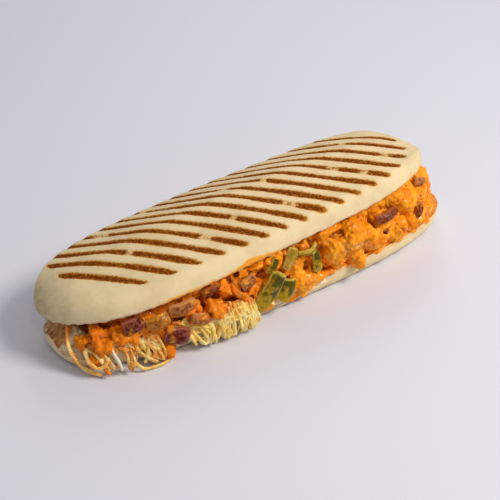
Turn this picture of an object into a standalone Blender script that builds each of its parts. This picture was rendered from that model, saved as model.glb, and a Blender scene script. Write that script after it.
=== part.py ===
"""Panini: a long grilled roll, cut through, with grated cheese, chicken in sauce, green pepper and red onion.

Metres, +Z up. The origin is the middle of the base's flat underside, +X runs along the roll and -Y is the
open side, where the lid is lifted by the filling. Every piece of food that shows on its own is an object.
"""
import math
import random

import bmesh
import bpy
from mathutils import Matrix, Vector, noise

MM = 0.001
GAP = 0.3 * MM                       # left between pieces that touch
POCKET_GAP = 0.5 * MM                # left round what is bedded in the chicken

# The bottom half of the roll
BASE_LENGTH = 253.8 * MM
BASE_WIDTH = 76.4 * MM
BASE_SQUARENESS = 2.9                # power of the plan's superellipse
BASE_RIM = 12.0 * MM                 # height of the cut edge
BASE_UNDERCUT = 5.5 * MM             # how far the bottom edge is rounded in
MOUND_TOP = 20.6 * MM                # crumb left standing at the left end, under the lid
MOUND_SLOPE = 9.0 * MM
MOUND_FROM, MOUND_FULL = -105.0 * MM, -116.0 * MM
MOUND_FRONT, MOUND_BACK = -19.0 * MM, -8.0 * MM
LOW_RIM = 7.5 * MM                   # cut edge at the left end's corners
LOW_FROM, LOW_FULL = -100.0 * MM, -113.0 * MM

# The top half of the roll, in its own frame: its cut face is tilted on the filling
LID_HALF_LENGTH = 122.0 * MM
LID_HALF_WIDTH = 40.4 * MM
LID_END_POWER, LID_SIDE_POWER = 4.16, 1.92
LID_TAPER = -0.06                    # narrower towards the right end
LID_WALL = 9.5 * MM                  # height of the rounded side
LID_WALL_RUN, LID_END_RUN = 6.0 * MM, 24.2 * MM
LID_END_FALL = 1.51
LID_CROWN = 8.9 * MM                 # rise of the soft roof above the side
LID_CROWN_POWER, LID_CROWN_END_POWER = 1.3, 2.1
LID_RIDGE = 0.08                     # the roof's ridge, as a share of the half width towards the back
LID_LIP, LID_LIP_DEPTH = 1.0 * MM, 1.5 * MM
LID_CENTRE = Vector((-6.9, 4.1, 34.4)) * MM
LID_YAW, LID_PITCH, LID_ROLL = math.radians(-1.74), math.radians(-5.06), math.radians(-5.89)

# The filling
FILL_LEFT, FILL_RIGHT = -103.0 * MM, 118.0 * MM
FILL_INSET = 4.5 * MM                # how far the plain core stays behind the open face
HEAP_TRIANGLES = 3600                # of the fused chunks, before the other pieces' pockets are cut
FILLING_TRIANGLES = 5600             # with the pockets
SKIN_DEPTH = 0.01 * MM               # the skin's last step inwards
CORE_END_DRAW = 9.0 * MM             # how far the core narrows at its ends
LOWEST = 0.4 * MM                    # height that drips and hanging shreds keep over the floor
SEED = 7
CHEESE_LEFT, CHEESE_RIGHT = -117.0 * MM, -2.0 * MM
CHEESE_TOP = 16.4 * MM
SHRED_WIDTH = 2.5 * MM
SHRED_SIDES = 4


def srgb(code):
    """Linear colour of an sRGB hex code."""
    parts = [int(code[i:i + 2], 16) / 255 for i in (1, 3, 5)]
    return [p / 12.92 if p <= 0.04045 else ((p + 0.055) / 1.055) ** 2.4 for p in parts] + [1.0]


def food_material(name, code, roughness):
    material = bpy.data.materials.new(name)
    material.use_nodes = True
    shader = material.node_tree.nodes["Principled BSDF"]
    shader.inputs["Base Color"].default_value = srgb(code)
    shader.inputs["Roughness"].default_value = roughness
    shader.inputs["Metallic"].default_value = 0.0
    return material


def smooth_step(low, high, value):
    share = min(max((value - low) / (high - low), 0.0), 1.0)
    return share * share * (3 - 2 * share)


def blend(first, second, share):
    return first + (second - first) * share


# Plan outlines

def superellipse(angle, half_length, half_width, power):
    """Point of the plan outline at this angle of its parameter."""
    along, across = math.cos(angle), math.sin(angle)
    return (
        math.copysign(abs(along) ** (2 / power), along) * half_length,
        math.copysign(abs(across) ** (2 / power), across) * half_width,
    )


def base_half_width(x, grow=0.0):
    share = min(abs(x) / (BASE_LENGTH / 2 + grow), 1.0)
    return (BASE_WIDTH / 2 + grow) * (1 - share ** BASE_SQUARENESS) ** (1 / BASE_SQUARENESS)


def lid_half_width(x):
    share = min(abs(x) / LID_HALF_LENGTH, 1.0)
    plan = (1 - share ** LID_END_POWER) ** (1 / LID_SIDE_POWER)
    return LID_HALF_WIDTH * plan * (1 + LID_TAPER * x / LID_HALF_LENGTH)


def lid_place():
    tilt = Matrix.Rotation(LID_PITCH, 4, "Y") @ Matrix.Rotation(LID_ROLL, 4, "X")
    return Matrix.Translation(LID_CENTRE) @ Matrix.Rotation(LID_YAW, 4, "Z") @ tilt


LID_PLACE = lid_place()


def lid_under(x, y):
    """Height of the lid's cut face over a point of the floor."""
    point = LID_PLACE @ Vector((0, 0, -LID_LIP_DEPTH))
    normal = LID_PLACE.to_3x3() @ Vector((0, 0, 1))
    return point.z - (normal.x * (x - point.x) + normal.y * (y - point.y)) / normal.z


def lid_edge_y(x, side):
    """Where the lid's cut edge stands over x, on the side -1 (front) or 1 (back)."""
    local = (x - LID_CENTRE.x) / math.cos(LID_PITCH)
    local = max(min(local, LID_HALF_LENGTH * 0.985), -LID_HALF_LENGTH)
    half = max(lid_half_width(local) - LID_LIP, 8 * MM)
    return (LID_PLACE @ Vector((local, side * half, -LID_LIP_DEPTH))).y


def face_point(x, z, side):
    """Point of the open face that runs from the base's cut edge to the lid's."""
    low_y = side * base_half_width(x)
    high_y = lid_edge_y(x, side)
    high_z = lid_under(x, high_y)
    share = (z - BASE_RIM) / (high_z - BASE_RIM)
    return Vector((x, blend(low_y, high_y, share), z))


def face_frame(x, z, side, out=0.0):
    """Matrix on the open face: its X runs along the roll, its Y up the face and its Z out of it."""
    step = 1.0 * MM
    here = face_point(x, z, side)
    along = (face_point(x + step, z, side) - face_point(x - step, z, side)).normalized() * -side
    up = face_point(x, z + step, side) - here
    normal = along.cross(up).normalized()
    up = normal.cross(along)
    axes = Matrix((along, up, normal)).transposed().to_4x4()
    return Matrix.Translation(here + normal * out) @ axes


# Mesh helpers

def new_object(name, bm, material):
    bm.normal_update()
    bmesh.ops.recalc_face_normals(bm, faces=bm.faces)
    if bm.calc_volume(signed=True) < 0:
        bmesh.ops.reverse_faces(bm, faces=bm.faces)
    mesh = bpy.data.meshes.new(name)
    bm.to_mesh(mesh)
    bm.free()
    mesh.materials.append(material)
    body = bpy.data.objects.new(name, mesh)
    bpy.context.scene.collection.objects.link(body)
    return body


def skin_rings(bm, rings):
    """Faces between closed rings with like numbers of vertices, with a fan at each end."""
    for lower, upper in zip(rings, rings[1:]):
        count = len(lower)
        for i in range(count):
            j = (i + 1) % count
            bm.faces.new((lower[i], lower[j], upper[j]))
            bm.faces.new((lower[i], upper[j], upper[i]))
    for ring in (rings[0], rings[-1]):
        centre = bm.verts.new(sum((v.co for v in ring), Vector()) / len(ring))
        for i, vert in enumerate(ring):
            bm.faces.new((vert, ring[(i + 1) % len(ring)], centre))


def apply_modifiers(body):
    """Turns a body with its modifiers into a plain mesh."""
    graph = bpy.context.evaluated_depsgraph_get()
    mesh = bpy.data.meshes.new_from_object(body.evaluated_get(graph))
    body.modifiers.clear()
    old = body.data
    body.data = mesh
    bpy.data.meshes.remove(old)


def boolean(body, others, operation):
    """Joins the others to the body or cuts them from it, and removes them.

    The exact solver leaves open edges where so many pieces cross.
    """
    group = bpy.data.collections.new("operands")
    bpy.context.scene.collection.children.link(group)
    for other in others:
        group.objects.link(other)
    modifier = body.modifiers.new(operation.lower(), "BOOLEAN")
    modifier.operation = operation
    modifier.operand_type = "COLLECTION"
    modifier.collection = group
    modifier.solver = "MANIFOLD"
    apply_modifiers(body)
    for other in others:
        bpy.data.objects.remove(other)
    bpy.data.collections.remove(group)


def thin_out(body, most):
    """Fewer triangles on a heap, by joining its smallest edges."""
    triangles = sum(len(face.vertices) - 2 for face in body.data.polygons)
    modifier = body.modifiers.new("thin", "DECIMATE")
    modifier.ratio = min(most / triangles, 1.0)
    apply_modifiers(body)


def keep_largest(body):
    """Drops the scraps that cutting leaves beside the main body."""
    bm = bmesh.new()
    bm.from_mesh(body.data)
    left, islands = set(bm.faces), []
    while left:
        stack, island = [left.pop()], []
        while stack:
            face = stack.pop()
            island.append(face)
            for edge in face.edges:
                for near in edge.link_faces:
                    if near in left:
                        left.remove(near)
                        stack.append(near)
        islands.append(island)
    islands.sort(key=lambda island: -sum(face.calc_area() for face in island))
    for island in islands[1:]:
        bmesh.ops.delete(bm, geom=island, context="FACES")
    loose = [vert for vert in bm.verts if not vert.link_faces]
    bmesh.ops.delete(bm, geom=loose, context="VERTS")
    bm.to_mesh(body.data)
    bm.free()


def draw_in(body, depth):
    """Moves the skin inwards a little, so that no two stretches of it touch."""
    normals = [normal.vector.copy() for normal in body.data.vertex_normals]
    for vert, normal in zip(body.data.vertices, normals):
        vert.co -= normal * depth


def shade_round(body, angle=50.0):
    body.data.shade_smooth()
    body.data.set_sharp_from_angle(angle=math.radians(angle))


# Bread

def base_rim_height(x, y):
    """The cut edge dips at the left end's corners, where the crumb is torn."""
    corner = smooth_step(LOW_FROM, LOW_FULL, x) * smooth_step(2 * MM, 12 * MM, abs(y))
    uneven = 0.8 * MM * noise.noise(Vector((x, y, 0)) * 40)
    return blend(BASE_RIM, LOW_RIM, corner) + uneven * (1 - corner)


def base_top(x, y, rim, inside):
    """Height of the cut face, at a distance inside the rim."""
    mound = smooth_step(MOUND_FROM, MOUND_FULL, x) * smooth_step(0, MOUND_SLOPE, inside)
    mound *= smooth_step(MOUND_FRONT, MOUND_BACK, y)
    level = blend(rim, BASE_RIM, smooth_step(0, MOUND_SLOPE, inside))
    return blend(level, MOUND_TOP, mound)


def build_base(name, material, grow=0.0, sides=52):
    """The bottom half: flat below, rounded along its foot, its cut face on top."""
    foot = ((BASE_UNDERCUT, 0.0), (2.0 * MM, 1.9 * MM), (0.5 * MM, 4.6 * MM), (0.0, LOW_RIM - 1.0 * MM))
    insides = (0.0, 0.7 * MM, 3.0 * MM, 6.0 * MM, MOUND_SLOPE)
    angles = [math.tau * (i + 0.5) / sides for i in range(sides)]

    def outline(inset):
        half_length, half_width = BASE_LENGTH / 2 - inset, BASE_WIDTH / 2 - inset
        return [superellipse(angle, half_length, half_width, BASE_SQUARENESS) for angle in angles]

    rims = [base_rim_height(x, y) for x, y in outline(0.0)]
    bm = bmesh.new()
    rings = []
    for inset, height in foot:
        low = height if height > 0 else -grow
        rings.append([bm.verts.new((x, y, low)) for x, y in outline(inset - grow)])
    for inside in insides:
        ring = []
        for (x, y), (wide_x, wide_y), rim in zip(outline(inside), outline(inside - grow), rims):
            ring.append(bm.verts.new((wide_x, wide_y, base_top(x, y, rim, inside) + grow)))
        rings.append(ring)
    skin_rings(bm, rings)
    return new_object(name, bm, material)


def lid_top(x, across):
    """Height of the crust above the cut face, at a share across the half width."""
    end = min(max((abs(x) - (LID_HALF_LENGTH - LID_END_RUN)) / LID_END_RUN, 0.0), 1.0)
    start = 1 - LID_WALL_RUN / LID_HALF_WIDTH
    side = min(max((abs(across) - start) / (1 - start), 0.0), 1.0)
    wall = LID_WALL * math.sqrt(1 - end * end) ** LID_END_FALL * math.sqrt(1 - side * side)
    limit = 1 - LID_RIDGE if across > LID_RIDGE else 1 + LID_RIDGE
    roof = 1 - min(abs(across - LID_RIDGE) / limit, 1.0) ** LID_CROWN_POWER
    length = 1 - min(abs(x) / LID_HALF_LENGTH, 1.0) ** LID_CROWN_END_POWER
    return wall + LID_CROWN * roof * length


def lid_rim(sides):
    """Points of the plan outline, spaced evenly round it."""
    steps = 720
    dense = []
    for i in range(steps):
        angle = math.tau * i / steps
        x = LID_HALF_LENGTH * math.copysign(abs(math.cos(angle)) ** (2 / LID_END_POWER), math.cos(angle))
        dense.append(Vector((x, math.copysign(lid_half_width(x), math.sin(angle)), 0)))
    dense.append(dense[0])
    lengths = [0.0]
    for first, second in zip(dense, dense[1:]):
        lengths.append(lengths[-1] + (second - first).length)
    rim, at = [], 0
    for i in range(sides):
        wanted = lengths[-1] * i / sides
        while lengths[at + 1] < wanted:
            at += 1
        share = (wanted - lengths[at]) / max(lengths[at + 1] - lengths[at], 1e-9)
        rim.append(dense[at].lerp(dense[at + 1], share))
    return rim


def build_lid(material, sides=72, steps=9):
    """The top half: a low dome with a rounded side, its cut face flat below."""
    bm = bmesh.new()
    rim = lid_rim(sides)
    rings = []
    lip = 1 - LID_LIP / LID_HALF_WIDTH
    rings.append([bm.verts.new((p.x * lip, p.y * lip, -LID_LIP_DEPTH)) for p in rim])
    for k in range(steps):
        share = 1 - (k / steps) ** 1.8
        ring = []
        for p in rim:
            x, y = p.x * share, p.y * share
            half = max(lid_half_width(x), 1e-6)
            ring.append(bm.verts.new((x, y, lid_top(x, max(min(y / half, 1.0), -1.0)))))
        rings.append(ring)
    skin_rings(bm, rings)
    bm.transform(LID_PLACE)
    return new_object("bread_lid", bm, material)


# Filling

def build_core(material, stations=24):
    """The plain heart of the chicken mix, a loaf that fills the roll behind the open faces."""
    levels = (0.0, 0.35, 0.7, 1.0)
    bm = bmesh.new()
    rings = []
    for i in range(stations):
        x = blend(FILL_LEFT, FILL_RIGHT - 3 * MM, i / (stations - 1))
        end = smooth_step(FILL_RIGHT, FILL_RIGHT - 22 * MM, x)
        end *= smooth_step(FILL_LEFT, FILL_LEFT + 14 * MM, x)
        ring = []
        for side in (-1, 1):
            order = levels if side == -1 else reversed(levels)
            for level in order:
                inset = side * (FILL_INSET + (1 - end) * CORE_END_DRAW)
                low = BASE_RIM + 1.2 * GAP
                high = lid_under(x, lid_edge_y(x, side) - inset) - 1.2 * GAP
                z = blend(low, high, level)
                y = face_point(x, z, side).y - inset
                ring.append(bm.verts.new((x, y, z)))
        rings.append(ring)
    skin_rings(bm, rings)
    return new_object("chicken_filling", bm, material)


def build_lump(rng, centre, size, material):
    """One torn chunk of chicken: a lumpy, slightly square ball."""
    bm = bmesh.new()
    bmesh.ops.create_icosphere(bm, subdivisions=2, radius=1.0)
    angle = rng.uniform(0, math.tau)
    turn = Matrix.Rotation(angle, 3, Vector((rng.gauss(0, 1), rng.gauss(0, 1), rng.gauss(0, 1))))
    seed = Vector((rng.uniform(0, 50), rng.uniform(0, 50), rng.uniform(0, 50)))
    for vert in bm.verts:
        ball = vert.co.normalized()
        square = ball / max(abs(ball.x), abs(ball.y), abs(ball.z)) ** LUMP_SQUARENESS
        square *= 0.84 + 0.34 * noise.noise(ball * 1.3 + seed) + 0.16 * noise.noise(ball * 3.1 - seed)
        vert.co = turn @ Vector((square.x * size[0], square.y * size[1], square.z * size[2]))
    bm.transform(Matrix.Translation(centre))
    return new_object("lump", bm, material)


# Chunks that stand out on the open side: x, height, how far out, half length, half height, half depth in mm
FRONT_CHUNKS = (
    (-118, 16, 0, 5, 5, 5), (-112, 19, 0, 7, 4, 6), (-108, 16, 1, 8, 6, 6), (-100, 19, 1, 9, 6, 6),
    (-113, 9, 3, 5, 5, 4), (-111, 3.5, 6, 2, 3.5, 2), (-94, 18, 1, 7, 4.5, 5), (-88, 20, 0, 8, 6, 6),
    (-82, 7, 5, 7, 6, 5), (-78, 16, 1, 8, 6, 5), (-66, 11, 4, 6, 6, 5), (-63, 22, 0, 8, 7, 6),
    (-51, 20, 3, 8, 7, 7), (-45, 30, 0, 9, 6, 7), (-33, 26, 2, 8, 7, 7), (-27, 35, 0, 9, 4, 7),
    (-25, 20, 2, 7, 7, 6), (-19, 9, 3, 8, 5, 4), (-12, 32, 0, 8, 6, 7), (0, 27, 0, 9, 8, 7),
    (4, 15, 3, 9, 7, 6), (12, 19, 2, 7, 7, 6), (9, 31, -2, 6, 6, 5), (24, 36, 0, 9, 5, 8),
    (27, 26, 2, 9, 8, 7), (38, 31, 3, 11, 9, 8), (50, 25, 3, 10, 9, 8), (41, 17, 3, 10, 6, 6),
    (30, 15, 1, 7, 4, 5), (60, 19, 1, 9, 6, 7), (66, 27, 0, 8, 8, 6), (75, 18, 1, 10, 6, 7),
    (77, 38, -1, 11, 6, 8), (88, 32, -1, 9, 8, 8), (90, 20, 1, 9, 7, 7), (99, 33, -2, 8, 7, 8),
    (102, 21, 0, 8, 8, 7), (99, 41, -3, 9, 4, 8), (109, 27, -3, 6, 8, 6), (111, 17, -3, 6, 5, 6),
)
LUMP_SQUARENESS = 0.55
END_CENTRE, END_REACH = 100.0 * MM, 9.0 * MM     # the right end's chunks stand round this line
END_SPREAD = 24.0 * MM


def lump_places(rng):
    """Centres and sizes of all chunks: the chosen ones in front, then the right end and the back by rule."""
    places = []
    for x, z, out, along, high, deep in FRONT_CHUNKS:
        frame = face_frame(x * MM, z * MM, -1, out * MM - 3.0 * MM)
        places.append((frame.translation, (along * MM, deep * MM, high * MM)))
    for turn in range(-1, 3):
        angle = math.radians(turn * 30)
        for level in (0.2, 0.68):
            x = END_CENTRE + (1 - 0.4 * level) * END_REACH * math.cos(angle)
            y = END_SPREAD * math.sin(angle) + rng.uniform(-2, 2) * MM
            z = blend(BASE_RIM, lid_under(x, y), level)
            size = (rng.uniform(6, 8) * MM, rng.uniform(6, 9) * MM, rng.uniform(6, 8) * MM)
            places.append((Vector((x, y, z)), size))
    x = FILL_RIGHT - 18 * MM
    while x > FILL_LEFT + 6 * MM:
        high = lid_under(x, 34 * MM)
        for level in (0.24, 0.74):
            z = blend(BASE_RIM, high, level) + rng.uniform(-1, 1) * MM
            frame = face_frame(x + rng.uniform(-3, 3) * MM, z, 1, rng.uniform(-4.5, -1.5) * MM)
            tall = (high - BASE_RIM) * 0.31
            places.append((frame.translation, (rng.uniform(5.5, 8.5) * MM, rng.uniform(5, 6.5) * MM, tall)))
        x -= rng.uniform(11.0, 14.0) * MM
    return places


def shred_path(x, top, bottom, out, drift, curl, side=-1):
    """A shred that leaves the layer at its edge and hangs down outside it."""
    start = face_point(x, BASE_RIM, side)
    points = [start + Vector((-0.3 * drift, -side * 4 * MM, min(top, 15 * MM) - BASE_RIM))]
    steps = 3
    for i in range(steps + 1):
        share = i / steps
        fall = share ** 1.15
        swing = math.sin(share * math.pi) * out * 0.5
        z = blend(top, bottom, fall)
        bend = curl * math.sin(share * 2.4 + x * 900)
        y = start.y + side * (1.3 * MM + out * share + swing)
        points.append(Vector((x + drift * share + bend, y, z)))
    return points


def build_shred(name, path, width, material, grow=0.0):
    """A grated strip: a four-sided rod along a path, with blunt ends."""
    bm = bmesh.new()
    rings = []
    count = len(path)
    for i, point in enumerate(path):
        ahead = path[min(i + 1, count - 1)] - path[max(i - 1, 0)]
        ahead.normalize()
        if i in (0, count - 1):
            point = point + ahead * grow * (1 if i else -1)
        aside = ahead.cross(Vector((0.3, 0.9, 0.2))).normalized()
        third = ahead.cross(aside)
        taper = 0.75 if i in (0, count - 1) else 1.0
        ring = []
        for k in range(SHRED_SIDES):
            angle = math.tau * k / SHRED_SIDES
            wide = (width * 0.62 * taper + grow) * math.cos(angle)
            thick = (width * 0.45 * taper + grow) * math.sin(angle)
            ring.append(bm.verts.new(point + aside * wide + third * thick))
        rings.append(ring)
    skin_rings(bm, rings)
    return new_object(name, bm, material)


# Shreds chosen by eye: x, top, bottom, how far out, drift along the roll and curl in mm
FRONT_SHREDS = (
    (-115, 13, 1.8, 5, 7, 0.8), (-112, 12, 3, 6, 5, -0.5), (-107, 14, 3, 5, 2, 0.5),
    (-102, 13, 1.8, 6, 2, 0.8), (-96, 13, 2, 6, -5, 0.6), (-94, 9, 1.8, 6, 13, 0.8),
    (-91, 14, 2.5, 5, 6, 0.6), (-87, 13, 4, 4, 5, -0.4), (-84, 16, 5, 4, 1, 0.6),
    (-70, 14, 4, 3, 5, 0.5), (-66, 13, 3, 3, 6, 0.4), (-62, 14, 3, 3, 4, 0.4),
)
BUNDLE_LEFT, BUNDLE_RIGHT = -59.0, -27.0        # mm, where the shreds hang in a bundle
BUNDLE_STEP = 2.3
BACK_STEP = 11.0


def ruled_paths(rng):
    """The hanging bundle in front, then loose shreds along the back."""
    paths = []
    x = BUNDLE_LEFT
    while x < BUNDLE_RIGHT:
        middle = 1 - abs(x - (BUNDLE_LEFT + BUNDLE_RIGHT) / 2) / (BUNDLE_RIGHT - BUNDLE_LEFT)
        top = 15 + 7 * middle + rng.uniform(-1.5, 1.5)
        bottom = rng.uniform(1.8, 4.5)
        drift = rng.uniform(-2.5, 2.5)
        out = 2.0 + 2.5 * middle + rng.uniform(-0.8, 0.8)
        sizes = (x, top, bottom, out, drift, rng.uniform(-0.6, 0.6))
        paths.append(shred_path(*(size * MM for size in sizes)))
        x += BUNDLE_STEP
    x = BUNDLE_LEFT - 38
    while x < BUNDLE_RIGHT + 14:
        bottom = rng.uniform(5, 10)
        drift = rng.uniform(-7, 7)
        sizes = (x, 15, bottom, 2.0, drift, rng.uniform(-0.8, 0.8))
        paths.append(shred_path(*(size * MM for size in sizes), side=1))
        x += BACK_STEP * rng.uniform(0.7, 1.3)
    return paths


def build_cheese_layer(material, grow=0.0, stations=22):
    """The layer of grated cheese on the base, which runs through to both sides."""
    bm = bmesh.new()
    rings = []
    for i in range(stations):
        x = blend(CHEESE_LEFT - grow, CHEESE_RIGHT + grow, i / (stations - 1))
        low = BASE_RIM - 1.0 * MM - grow
        half = base_half_width(x) - 0.4 * MM
        uneven = 1.2 * MM * noise.noise(Vector((x * 90, 3, 0)))
        high = CHEESE_TOP + uneven + grow
        front, back = -half - uneven - grow, half + uneven + grow
        corners = ((front, low), (back, low), (back, high - 1.2 * MM), (back - 2.5 * MM, high))
        corners += ((front + 2.5 * MM, high), (front, high - 1.2 * MM))
        rings.append([bm.verts.new((x, y, z)) for y, z in corners])
    skin_rings(bm, rings)
    return new_object("cheese_shreds", bm, material)


def sheet_edge(sheet):
    """The points round the edge of a sheet of rows."""
    near, far = [row[0] for row in sheet], [row[-1] for row in sheet[-2::-1]]
    return near + sheet[-1][1:] + far + sheet[0][-2:0:-1]


def build_plate(name, place, sizes, along, across, material, grow):
    """A cut piece of vegetable: a plate bent along its length and cupped across it."""
    length, width, thick, bend, cup, taper = sizes
    bm = bmesh.new()
    sheets = []
    for face in (1, -1):
        sheet = []
        for i in range(along + 1):
            u = 2 * i / along - 1
            row = []
            for j in range(across + 1):
                v = 2 * j / across - 1
                half = (width / 2) * (1 - taper * u) * (1 - 0.18 * u ** 4)
                sag = bend * (1 - u * u) + cup * (1 - v * v) * (across > 1)
                x, y = u * (length / 2 + grow), v * (half + grow)
                z = sag + face * (thick / 2 + grow)
                row.append(bm.verts.new(place @ Vector((x, y, z))))
            sheet.append(row)
        sheets.append(sheet)
    for sheet in sheets:
        for i in range(along):
            for j in range(across):
                quad = (sheet[i][j], sheet[i + 1][j], sheet[i + 1][j + 1], sheet[i][j + 1])
                bm.faces.new(quad[:3])
                bm.faces.new((quad[0], quad[2], quad[3]))
    upper, lower = (sheet_edge(sheet) for sheet in sheets)
    for i in range(len(upper)):
        j = (i + 1) % len(upper)
        bm.faces.new((upper[i], upper[j], lower[j], lower[i]))
    return new_object(name, bm, material)


# Vegetables that show on their own: name, side, x, height, out, then length, width, thickness, bend and cup
# in mm, then the slope along the face, the lean of the long edge and the dip of the far end in degrees, and
# the taper
VEGETABLES = (
    ("pepper_strip", -1, -20.5, 19.5, 4.2, 26, 9.5, 2.6, 1.2, 0.8, 58, 0, -14, 0.04),
    ("pepper_square", -1, -8.3, 15.6, 2.6, 13, 11, 2.6, 0.8, 1.0, 74, 0, -4, -0.10),
    ("pepper_sliver", -1, -14.5, 31.6, 1.4, 9, 3.6, 2.4, 0.6, 0.2, 50, 0, 0, 0.10),
    ("pepper_yellow", -1, -4.0, 32.6, 2.6, 12, 5.6, 2.4, 0.8, 0.6, 62, 0, 0, 0.05),
    ("pepper_curl_top", -1, 7.0, 34.4, 2.8, 12, 4.6, 2.2, 2.2, 0.2, 14, 30, 0, 0.05),
    ("pepper_curl_end", -1, 12.6, 25.4, 2.8, 13, 5.2, 2.2, 1.2, 0.4, 96, 0, 0, 0.18),
    ("onion_purple", -1, -94.5, 24.8, 1.8, 11, 6.6, 3.0, 1.2, 1.2, 12, 0, 0, 0.10),
    ("onion_amber", -1, -83.0, 24.2, 2.4, 12, 7.0, 3.0, 1.4, 1.2, 4, 0, 0, -0.10),
    ("onion_maroon", -1, -74.5, 14.4, 4.0, 13, 8.6, 3.4, 1.6, 1.4, -16, 0, 0, 0.08),
    ("onion_pink", -1, -68.5, 27.6, 2.0, 15, 6.6, 3.0, 1.4, 1.2, 6, 0, 0, 0.10),
    ("onion_pink_small", -1, -60.5, 18.6, 2.8, 11, 6.4, 3.0, 1.4, 1.2, -14, 0, 0, 0.06),
    ("onion_brown", -1, -52.5, 30.9, 1.0, 9, 4.2, 2.6, 1.0, 0.8, 10, 0, 0, 0.05),
    ("onion_rose", -1, -30.6, 28.2, 2.0, 9, 6.6, 3.0, 1.0, 1.2, 24, 0, 0, 0.10),
    ("onion_crescent", -1, 63.5, 34.0, 1.0, 18, 5.4, 3.2, 2.4, 1.0, 2, 0, 0, 0.12),
    ("onion_edge", -1, 90.0, 25.8, 2.2, 9, 4.4, 2.8, 1.4, 0.8, 62, 0, 0, 0.10),
    ("onion_bit", -1, 62.6, 23.6, 1.6, 4.4, 3.4, 2.0, 0.6, 0.4, 20, 0, 0, 0.05),
    ("onion_far", -1, 97.5, 38.4, -0.6, 11, 5.2, 2.8, 1.2, 1.0, -24, 0, 0, 0.10),
    ("pepper_back_long", 1, 30.0, 25.5, 1.2, 20, 7.0, 2.6, 1.4, 0.8, 18, 0, 0, 0.06),
    ("pepper_back_short", 1, 72.0, 25.0, 1.4, 13, 8.0, 2.6, 1.0, 0.9, 60, 0, 0, 0.08),
    ("onion_back_dark", 1, -18.0, 21.0, 1.2, 13, 6.4, 3.0, 1.6, 1.2, 12, 0, 0, 0.10),
    ("onion_back_pale", 1, 2.0, 23.4, 1.0, 12, 5.8, 3.0, 1.4, 1.0, -16, 0, 0, 0.08),
)
VEGETABLE_COLOURS = (
    ("pepper_yellow", "#a8871c"), ("pepper", "#66701a"), ("onion_amber", "#b4681a"),
    ("onion_pink", "#a25c3a"), ("onion_rose", "#a8654a"), ("onion_far", "#b06840"), ("onion", "#6e2a26"),
)
LONG_PIECE, WIDE_PIECE = 15, 6       # mm, over which a piece takes more faces


def vegetable_colour(name):
    return next(code for start, code in VEGETABLE_COLOURS if name.startswith(start))


def build_vegetable(row, material, grow=0.0):
    name, side, x, z, out, length, width, thick, bend, cup, slope, lean, dip, taper = row
    place = face_frame(x * MM, z * MM, side, out * MM)
    place = place @ Matrix.Rotation(math.radians(slope), 4, "Z") @ Matrix.Rotation(math.radians(dip), 4, "Y")
    place = place @ Matrix.Rotation(math.radians(lean), 4, "X")
    sizes = (length * MM, width * MM, thick * MM, bend * MM, cup * MM, taper)
    along, across = 3 if length < LONG_PIECE else 4, 2 if width > WIDE_PIECE else 1
    return build_plate(name if grow == 0 else "pocket", place, sizes, along, across, material, grow)


CUTTER_SIDE, CUTTER_HEIGHT = 500 * MM, 100 * MM


def lid_half_space(material):
    """Everything above the lid's cut face, to trim the filling level with it."""
    bm = bmesh.new()
    bmesh.ops.create_cube(bm, size=1.0)
    low = -LID_LIP_DEPTH - POCKET_GAP
    move = Matrix.Translation((0, 0, low + CUTTER_HEIGHT / 2))
    bm.transform(LID_PLACE @ move @ Matrix.Diagonal((CUTTER_SIDE, CUTTER_SIDE, CUTTER_HEIGHT, 1)))
    return new_object("above", bm, material)


def floor_half_space(material):
    """Everything under the height that the lowest shreds and drips keep."""
    bm = bmesh.new()
    bmesh.ops.create_cube(bm, size=1.0)
    move = Matrix.Translation((0, 0, LOWEST - CUTTER_HEIGHT / 2))
    bm.transform(move @ Matrix.Diagonal((CUTTER_SIDE, CUTTER_SIDE, CUTTER_HEIGHT, 1)))
    return new_object("below", bm, material)


def main():
    for body in list(bpy.data.objects):
        bpy.data.objects.remove(body)
    rng = random.Random(SEED)
    crust = food_material("pale_crust", "#e6d6b0", 0.75)
    crumb = food_material("base_bread", "#ead9b8", 0.8)
    chicken = food_material("saucy_chicken", "#d9761c", 0.35)
    cheese = food_material("grated_cheese", "#edcf7c", 0.5)

    build_lid(crust)
    build_base("bread_base", crumb)

    vegetables = []
    for row in VEGETABLES:
        material = food_material(row[0] + "_flesh", vegetable_colour(row[0]), 0.35)
        vegetables.append(build_vegetable(row, material))

    def pockets(material, grow):
        return [build_vegetable(row, material, grow) for row in VEGETABLES]

    paths = [shred_path(*(size * MM for size in row)) for row in FRONT_SHREDS] + ruled_paths(rng)
    layer = build_cheese_layer(cheese)
    boolean(layer, [build_shred("shred", path, SHRED_WIDTH, cheese) for path in paths], "UNION")
    for cutter in (build_base("base_cutter", cheese, grow=GAP), floor_half_space(cheese)):
        boolean(layer, [cutter], "DIFFERENCE")
    boolean(layer, pockets(cheese, GAP), "DIFFERENCE")
    keep_largest(layer)

    filling = build_core(chicken)
    lumps = [build_lump(rng, centre, size, chicken) for centre, size in lump_places(rng)]
    boolean(filling, lumps, "UNION")
    thin_out(filling, HEAP_TRIANGLES)
    grown = build_cheese_layer(chicken, grow=POCKET_GAP)
    boolean(grown, [build_shred("shred", path, SHRED_WIDTH, chicken, POCKET_GAP) for path in paths], "UNION")
    above, base_cutter = lid_half_space(chicken), build_base("base_cutter", chicken, grow=POCKET_GAP)
    for cutter in (above, base_cutter, grown, floor_half_space(chicken)):
        boolean(filling, [cutter], "DIFFERENCE")
    boolean(filling, pockets(chicken, POCKET_GAP), "DIFFERENCE")
    thin_out(filling, FILLING_TRIANGLES)
    keep_largest(filling)
    draw_in(filling, SKIN_DEPTH)

    for body in bpy.context.scene.objects:
        shade_round(body)


main()
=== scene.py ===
"""Looks of a panini: grilled crust, torn crumb, sauced chicken, grated cheese and vegetables."""

import math
import random

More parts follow.
